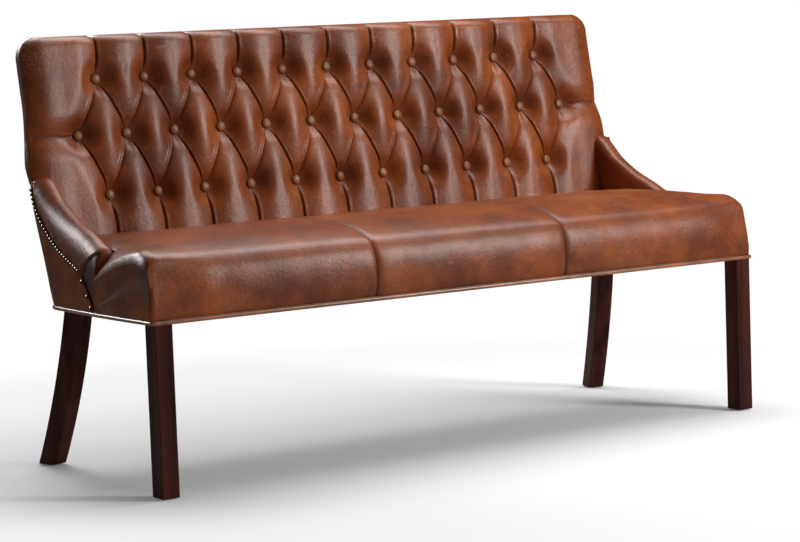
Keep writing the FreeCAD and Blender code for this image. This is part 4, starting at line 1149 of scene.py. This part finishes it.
@dataclass
class Arm:
    """One arm's leather: a roll over the top, its front and the panel outside."""

    side: str
    way: float
    form: ArmForm
    cuts: int = 84

    def roll(self, material: bpy.types.Material) -> bpy.types.Object:
        """Make the arm's top, inside and front."""
        form = self.form
        piece = add_block("arm_roll_" + self.side, self.cuts)
        inner = form.outer - form.thickness
        middle = inner + form.roll_set
        straight, arc = 0.62, 0.42

        def place(points: Points) -> Points:
            """Put the piece's points in place."""
            a, b, c = points.T
            level, up = np.abs(a), (c + 1) / 2
            on_top, on_side, on_front = c >= FACE_AT, level >= FACE_AT, b <= -FACE_AT
            y = form.front + (form.rear + 0.034 - form.front) * (b + 1) / 2
            crest = form.crest_height(y)
            outward = a > 0
            spring = np.where(outward, np.maximum(form.nail_height(y), form.nails[0][1]), crest - form.inner_roll)
            half = np.where(outward, form.outer - middle, middle - inner)
            edge = np.where(outward, form.outer, inner)
            full = np.where(outward, 0.94, 0.85)

            def rolled(turn: Points) -> tuple[Points, Points]:
                """X and z on the roll at a turn."""
                return (middle + (edge - middle) * np.cos(turn) ** full,
                        spring + (crest - spring) * np.sin(turn) ** full)

            over = np.clip((up - straight) / (1 - straight), 0, 1) * arc
            side_x, side_z = rolled(over * math.pi / 2)
            top_x, top_z = rolled((arc + (1 - arc) * (1 - level)) * math.pi / 2)
            straight_z = form.foot + (spring - form.foot) * np.clip(up / straight, 0, 1)
            side_z = np.where(up > straight, side_z, straight_z)
            z = np.where(on_top, top_z, side_z)
            y = np.where(z < form.nails[-1][1] - 0.02, np.minimum(y, form.lines.rear(z) - form.behind_gap), y)
            x = np.where(on_top, top_x, np.where(on_side, side_x, middle + (side_x - middle) * level))
            z = np.where(on_top | on_side, z, side_z + (top_z - rolled(arc * math.pi / 2)[1]) * up)
            outside = np.clip((x - middle) / half, -1, 1)
            lip = form.front + 0.055 * between(0.505 - z, 0.0, 0.052) ** 0.8
            ahead = np.clip((lip - y) / 0.0035, 0, 1) * between(outside, 0.25, 0.75)
            behind = (y > form.seam_depth(z)) & (z < form.nail_height(y) - 0.001) & (outside > 0.6)
            tuck = np.where(behind, form.tuck, form.tuck * ahead * between(0.5035 - z, 0.0, 0.012))
            puckers = 0.0012 * ripple(np.column_stack([y, z]), 0.018, LEATHER_SEED + 4) * between(
                0.03 - (z - form.nail_height(y)), 0.0, 0.03) * (outside > 0.3)
            x = x - tuck * (outside > 0) + puckers
            near_front = np.clip(1 - (y - form.front) / form.front_round, 0, 1)
            shrink = np.where(on_front, 1.0, 1 - np.sqrt(np.clip(1 - near_front ** 2, 0, 1)))
            drawn = form.front_round * 0.62 * between(z, 0.455, 0.492) * shrink
            x = x - (x - middle) / half * drawn
            z = z - np.clip((z - 0.44) / 0.06, 0, 1) * drawn
            y = y - on_front * 0.003 * (1 - level ** 2) * np.sin(math.pi * up)
            round_in = np.clip(y - form.lines.rear(z) + form.lines.corner, 0, 0.08)
            x = x - form.lines.corner_drop(round_in) * (outside > 0)
            swell = ripple(np.column_stack([x, y, z]), 0.12, LEATHER_SEED + 5) * 0.0012
            z = z + swell * (outside > -0.9)
            # Painted shade in the crease of the lip at the arm's front.
            crease_shade = 0.8 * np.clip((lip - y) / 0.0035, 0, 1) * between(outside, 0.2, 0.7) * between(
                0.5035 - z, 0.0, 0.012) * between(y, form.front, lip) ** 0.3
            return np.column_stack([self.way * x, y, z, np.clip(crease_shade, 0, 1)])

        shape(piece, place)
        face_outwards(piece)
        smooth_shade(piece, 70)
        fit(piece, "leather", material, "arm_cover_" + self.side, "arm_foam_" + self.side)
        return piece

    def outside(self, material: bpy.types.Material) -> bpy.types.Object:
        """Make the nailed panel outside, drawn round the rear corner."""
        form = self.form
        piece = add_grid("outside_arm_hide_" + self.side, 150, 70)
        corner = form.lines.corner
        end_angle = math.acos((form.lines.seam - form.outer + corner) / corner)
        flat_share = 0.72

        def place(points: Points) -> Points:
            """Put the piece's points in place."""
            u, v = points[:, 0], points[:, 1]
            into = np.clip(u / flat_share, 0, 1)
            angle = np.clip((u - flat_share) / (1 - flat_share), 0, 1) * end_angle

            def depth_at(height: Points) -> Points:
                """Y of the panel at a height."""
                start = form.seam_depth(height)
                return start + (form.lines.rear(height) - corner - start) * into + corner * np.sin(angle)

            top = np.full(len(u), form.nails[0][1])
            for _ in range(40):
                y = depth_at(top)
                top = np.where(y < form.rear, form.nail_height(np.maximum(y, form.nails[0][0])), form.rear_top)
            z = form.foot + (top - form.foot) * v
            x = form.outer - corner + corner * np.cos(angle)
            y = depth_at(z)
            swell = ripple(np.column_stack([y, z * 0.6]), 0.09, LEATHER_SEED + 6) * 0.0011
            border = np.minimum(np.minimum(v, 1 - v) * 8, 1)
            depth = 0.0016 * np.sin(math.pi * np.clip(v, 0, 1)) * np.sin(math.pi * np.clip(u, 0, 1))
            x = x + (swell * border + depth) * np.cos(angle)
            y = y + (swell * border + depth) * np.sin(angle)
            return np.column_stack([self.way * x, y, z])

        shape(piece, place)
        if self.way < 0:
            edit(piece, bpy.ops.mesh.flip_normals)
        thicken(piece)
        smooth_shade(piece, 50)
        fit(piece, "leather", material, "outside_arm_panel_" + self.side, "outside_arm_pad_" + self.side)
        return piece

    def nail_row(self, material: bpy.types.Material) -> bpy.types.Object:
        """Make the domed nails of the row and of the seam in front."""
        form = self.form
        deselect()
        bpy.ops.mesh.primitive_uv_sphere_add(segments=12, ring_count=8, radius=0.0049)
        nail = named("nail")
        shape(nail, lambda points: points * np.where(points[:, 2:] > 0, [1, 1, 0.72], [1, 1, 0.3]))
        line = curve_through(list(form.nails), 60)
        length = walked(line)

        def at(distance: float) -> Points:
            """Point of the row at a distance along it."""
            return np.array([np.interp(distance, length, line[:, k]) for k in range(2)])

        spots = []
        for distance in np.arange(form.pitch / 2, length[-1], form.pitch):
            run = at(distance + 0.002) - at(distance - 0.002)
            spots.append(at(distance) + form.nail_drop * np.array([run[1], -run[0]]) / np.hypot(*run))
        seam = np.array(form.nails[0]) - form.seam_foot
        across = np.array([seam[1], -seam[0]]) / np.hypot(*seam) * form.nail_drop
        spots += [np.array(form.seam_foot) + seam * share + across for share in form.lone_shares]
        places = []
        for y, z in spots:
            into = max(0.0, y - float(form.lines.rear(np.array(z))) + form.lines.corner)
            places.append(Vector((self.way * (form.outer + form.nail_lift - form.lines.corner_drop(into)), y, z)))
        made = join(copies(nail, places, (0, self.way * math.pi / 2, 0)), "arm_nail_heads_" + self.side)
        smooth_shade(made)
        fit(made, "nail_bronze", material, "arm_nails_" + self.side)
        return made


@dataclass
class OutsideBack:
    """Plain hide behind the bench."""

    lines: BackLines
    start: float = 0.723
    foot: float = 0.3696
    top: float = 0.9436
    corner_round: float = 0.045
    corner_in: float = 0.029

    def build(self, material: bpy.types.Material) -> bpy.types.Object:
        """Make the panel."""
        piece = add_grid("outside_back_hide", 120, 60)

        def place(points: Points) -> Points:
            """Put the piece's points in place."""
            x = (points[:, 0] * 2 - 1) * self.lines.seam
            z = self.foot + (self.top - self.foot) * points[:, 1]
            rounded = np.clip((z - self.top + self.corner_round) / self.corner_round, 0, 0.999)
            x = x * (1 - self.corner_in * (1 - np.sqrt(1 - rounded ** 2)))
            into = np.clip(np.abs(x) - self.start, 0, None)
            swell = ripple(np.column_stack([x, z]), 0.3, LEATHER_SEED + 7) * 0.0014
            border = np.clip(np.minimum(points[:, 0], 1 - points[:, 0]) * 14, 0, 1)
            y = self.lines.rear(z) - self.lines.corner_drop(into) + swell * border
            return np.column_stack([x, y, z])

        shape(piece, place)
        edit(piece, bpy.ops.mesh.flip_normals)
        thicken(piece)
        smooth_shade(piece, 50)
        fit(piece, "leather", material, "outside_back_panel")
        return piece


@dataclass
class Piping:
    """Leather sewn round a cord, along the foot of the covers."""

    lines: BackLines
    radius: float = 0.0045
    height: float = 0.3643
    front: float = -0.3146
    side: float = 0.8066
    front_corner: float = 0.010

    def build(self, material: bpy.types.Material) -> bpy.types.Object:
        """Make the piping as a swept tube."""
        rear = float(self.lines.rear(np.array(self.height))) + 0.0018
        spots = []
        for way in (1, -1):
            flank = []
            steps = np.linspace(0, math.pi / 2, 9)
            small, large = self.front_corner, self.lines.corner
            flank += [(self.side - small + small * math.sin(t), self.front + small - small * math.cos(t))
                      for t in steps]
            run = np.linspace(self.front + small, rear - large, 14)[1:-1]
            flank += [(self.side + 0.0035 * math.sin(math.pi * (y - run[0]) / (run[-1] - run[0])), y) for y in run]
            flank += [(self.side - large + large * math.cos(t), rear - large + large * math.sin(t)) for t in steps]
            spots += [(way * x, y) for x, y in (flank if way > 0 else flank[::-1])]
        curve = bpy.data.curves.new("foot_piping", "CURVE")
        curve.dimensions = "3D"
        curve.bevel_depth = self.radius
        curve.bevel_resolution = 4
        spline = curve.splines.new("POLY")
        spline.points.add(len(spots) - 1)
        for point, (x, y) in zip(spline.points, spots):
            point.co = (x, y, self.height, 1)
        spline.use_cyclic_u = True
        choose(add_object("foot_piping", curve))
        bpy.ops.object.convert(target="MESH")
        piece = named("foot_piping")
        smooth_shade(piece)
        fit(piece, "piping_leather", material, "bottom_piping")
        return piece


@dataclass
class Frame:
    """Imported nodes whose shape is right, with better materials."""

    legs: Wood = Wood("leg_mahogany", (0.085, 0.018, 0.012), (0.024, 0.006, 0.005), 0.04)
    timber: Wood = Wood("frame_beech", (0.60, 0.44, 0.28), (0.42, 0.28, 0.16))
    spring: Plain = Plain("spring_wire", (0.12, 0.12, 0.13), 0.35, 0.9)
    zinc: Plain = Plain("zinc_plate", (0.55, 0.56, 0.58), 0.35, 1.0)
    felt: Plain = Plain("grey_felt", (0.30, 0.29, 0.27), 0.95, 0.0, 900, 0.35)
    jute: Plain = Plain("jute_web", (0.42, 0.31, 0.18), 0.9, 0.0, 700, 0.4)
    cord: Plain = Plain("waxed_twine", (0.62, 0.55, 0.42), 0.7, 0.0, 900, 0.3)
    cloth: Plain = Plain("black_under_cloth", (0.018, 0.018, 0.018), 0.9, 0.0, 1400, 0.4)
    glide: Plain = Plain("black_glide", (0.02, 0.02, 0.02), 0.5)

    def dress(self, nodes: dict[str, bpy.types.Object]) -> None:
        """Give each remaining node its material.

        Args:
            nodes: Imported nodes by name.
        """
        finishes = {"leg_bolts": self.zinc, "tee_nuts": self.zinc, "front_leg": self.legs, "rear_leg": self.legs,
                    "seat_springs": self.spring, "spring_clips": self.zinc, "spring_felt": self.felt,
                    "back_webbing": self.jute, "button_twines": self.cord, "button_toggles": self.cord,
                    "dust_cover": self.cloth, "foot_glides": self.glide}
        for name, node in nodes.items():
            match = next((finish for stem, finish in finishes.items() if name.startswith(stem)), self.timber)
            material = bpy.data.materials.get(match.name) or match.material()
            if not node.data.materials:
                node.data.materials.append(material)
            for slot in node.material_slots:
                slot.material = material


@dataclass
class Studio:
    """Floor, lamps and camera."""

    eye: tuple[float, float, float] = (-3.3613, -4.9876, 1.0104)
    yaw: float = 34.108
    pitch: float = -5.983
    roll: float = -2.067
    focal_pixels: float = 2640.1
    picture: tuple[int, int] = (800, 542)
    sensor: float = 36.0
    floor_fade: tuple[float, float] = (0.8, 1.7)
    fill: float = 0.05

    def place_camera(self) -> None:
        """Put the camera where the photograph was taken from."""
        yaw, pitch, roll = (math.radians(angle) for angle in (self.yaw, self.pitch, self.roll))
        ahead = Vector((math.sin(yaw) * math.cos(pitch), math.cos(yaw) * math.cos(pitch), math.sin(pitch)))
        level = Vector((math.cos(yaw), -math.sin(yaw), 0))
        above = level.cross(ahead)
        right = math.cos(roll) * level + math.sin(roll) * above
        up = -math.sin(roll) * level + math.cos(roll) * above
        data = bpy.data.cameras.new("camera")
        data.sensor_width = self.sensor
        data.lens = self.focal_pixels / self.picture[0] * self.sensor
        camera = add_object("camera", data)
        camera.matrix_world = Matrix((right, up, -ahead)).transposed().to_4x4()
        camera.location = self.eye
        bpy.context.scene.camera = camera

    def lamp(self, name: str, place: tuple[float, float, float], aim: tuple[float, float, float],
             size: tuple[float, float], power: float, tint: Colour = (1, 1, 1), sheen_only: bool = False) -> None:
        """Add a soft rectangular lamp.

        Args:
            name: Lamp's name.
            place: Its middle.
            aim: Point that it faces.
            size: Its width and height.
            power: Its power in watts.
            tint: Its colour.
            sheen_only: Whether it is only seen mirrored in glossy finishes.
        """
        data = bpy.data.lights.new(name, "AREA")
        data.shape = "RECTANGLE"
        data.size, data.size_y = size
        data.energy = power
        data.color = tint
        lamp = add_object(name, data)
        lamp.visible_diffuse = not sheen_only
        lamp.location = place
        lamp.rotation_euler = (Vector(aim) - Vector(place)).to_track_quat("-Z", "Y").to_euler()

    def build(self) -> None:
        """Make the floor, the world and the lamps."""
        deselect()
        bpy.ops.mesh.primitive_plane_add(size=40)
        floor = named("studio_floor")
        nodes, shader, place = start_material("studio_floor")
        shader.inputs["Roughness"].default_value = 0.8
        shader.inputs["Specular IOR Level"].default_value = 0.1
        paths = nodes.add("LightPath")
        seen = paths.outputs["Is Camera Ray"]
        # Painted dark reflection: seen mirrored in glossy finishes the floor is dark grey, so the leather's sides that
        # face it look shaded.
        nodes.tree.links.new(nodes.mix(paths.outputs["Is Glossy Ray"], (0.93, 0.94, 0.95), (0.16, 0.15, 0.14)),
                             shader.inputs["Base Color"])
        away = nodes.add("VectorMath", operation="LENGTH", inputs={0: place}).outputs["Value"]
        far = nodes.math("MULTIPLY", nodes.window(away, self.floor_fade[0], self.floor_fade[1], 0.08), seen)
        glow = nodes.add("Emission", inputs={"Color": (1, 1, 1, 1), "Strength": 1.0})
        both = nodes.add("MixShader", inputs={0: far, 1: shader.outputs[0], 2: glow.outputs[0]})
        nodes.tree.links.new(both.outputs[0], nodes.tree.nodes["Material Output"].inputs["Surface"])
        floor.data.materials.append(bpy.data.materials["studio_floor"])
        world = bpy.data.worlds.new("studio")
        bpy.context.scene.world = world
        world.use_nodes = True
        nodes = Nodes(world.node_tree)
        paths = nodes.add("LightPath")
        seen = nodes.math("MAXIMUM", paths.outputs["Is Camera Ray"], paths.outputs["Is Transmission Ray"])
        strength = nodes.window(seen, 0.0, 1.0, self.fill, 1.0)
        ground = world.node_tree.nodes["Background"]
        ground.inputs["Color"].default_value = (1, 1, 1, 1)
        nodes.tree.links.new(strength, ground.inputs["Strength"])
        self.lamp("lamp_above", (0.6, 0.35, 2.7), (0.1, -0.1, 0.4), (3.6, 1.0), 88)
        self.lamp("lamp_behind", (-1.4, 2.6, 2.3), (-0.5, 0.0, 0.6), (4.2, 1.1), 230, sheen_only=True)
        self.lamp("lamp_front", (1.9, -2.8, 1.85), (0.0, 0.0, 0.7), (0.7, 1.7), 84, (1.0, 0.97, 0.95))
        self.place_camera()


def main() -> None:
    """Build the dressed bench and its studio."""
    logging.basicConfig(level=logging.INFO, format="%(message)s")
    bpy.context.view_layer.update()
    bpy.context.scene.view_settings.view_transform = "Standard"
    lines = BackLines()
    hide = Hide("saddle_hide", paints_crease_shade=True).material()
    button_hide = Hide("button_hide", tan=(0.27, 0.105, 0.034), brown=(0.20, 0.066, 0.022), coat=0.0).material()
    edge_hide = Hide("piping_hide", tan=(0.34, 0.13, 0.06), brown=(0.2, 0.07, 0.03), coat=0.6).material()
    bronze = Plain("aged_bronze", (0.20, 0.16, 0.12), 0.24, 1.0, 900, 0.4).material()
    back = ButtonedBack(lines)
    back.build(hide)
    Buttons(back).build(button_hide)
    form = SeatForm()
    SeatPanel("seat_hide_left", "seat_cover_left", -form.half, form.seams[0], form).build(hide, "seat_foam")
    SeatPanel("seat_hide_centre", "seat_cover_centre", *form.seams, form).build(hide)
    SeatPanel("seat_hide_right", "seat_cover_right", form.seams[1], form.half, form).build(hide)
    arms = ArmForm(lines)
    for side, way in (("left", -1.0), ("right", 1.0)):
        arm = Arm(side, way, arms)
        arm.roll(hide)
        arm.outside(hide)
        arm.nail_row(bronze)
    OutsideBack(lines).build(hide)
    Piping(lines).build(edge_hide)
    Frame().dress(frame["nodes"])
    Studio().build()


if __name__ == "__main__":
    main()
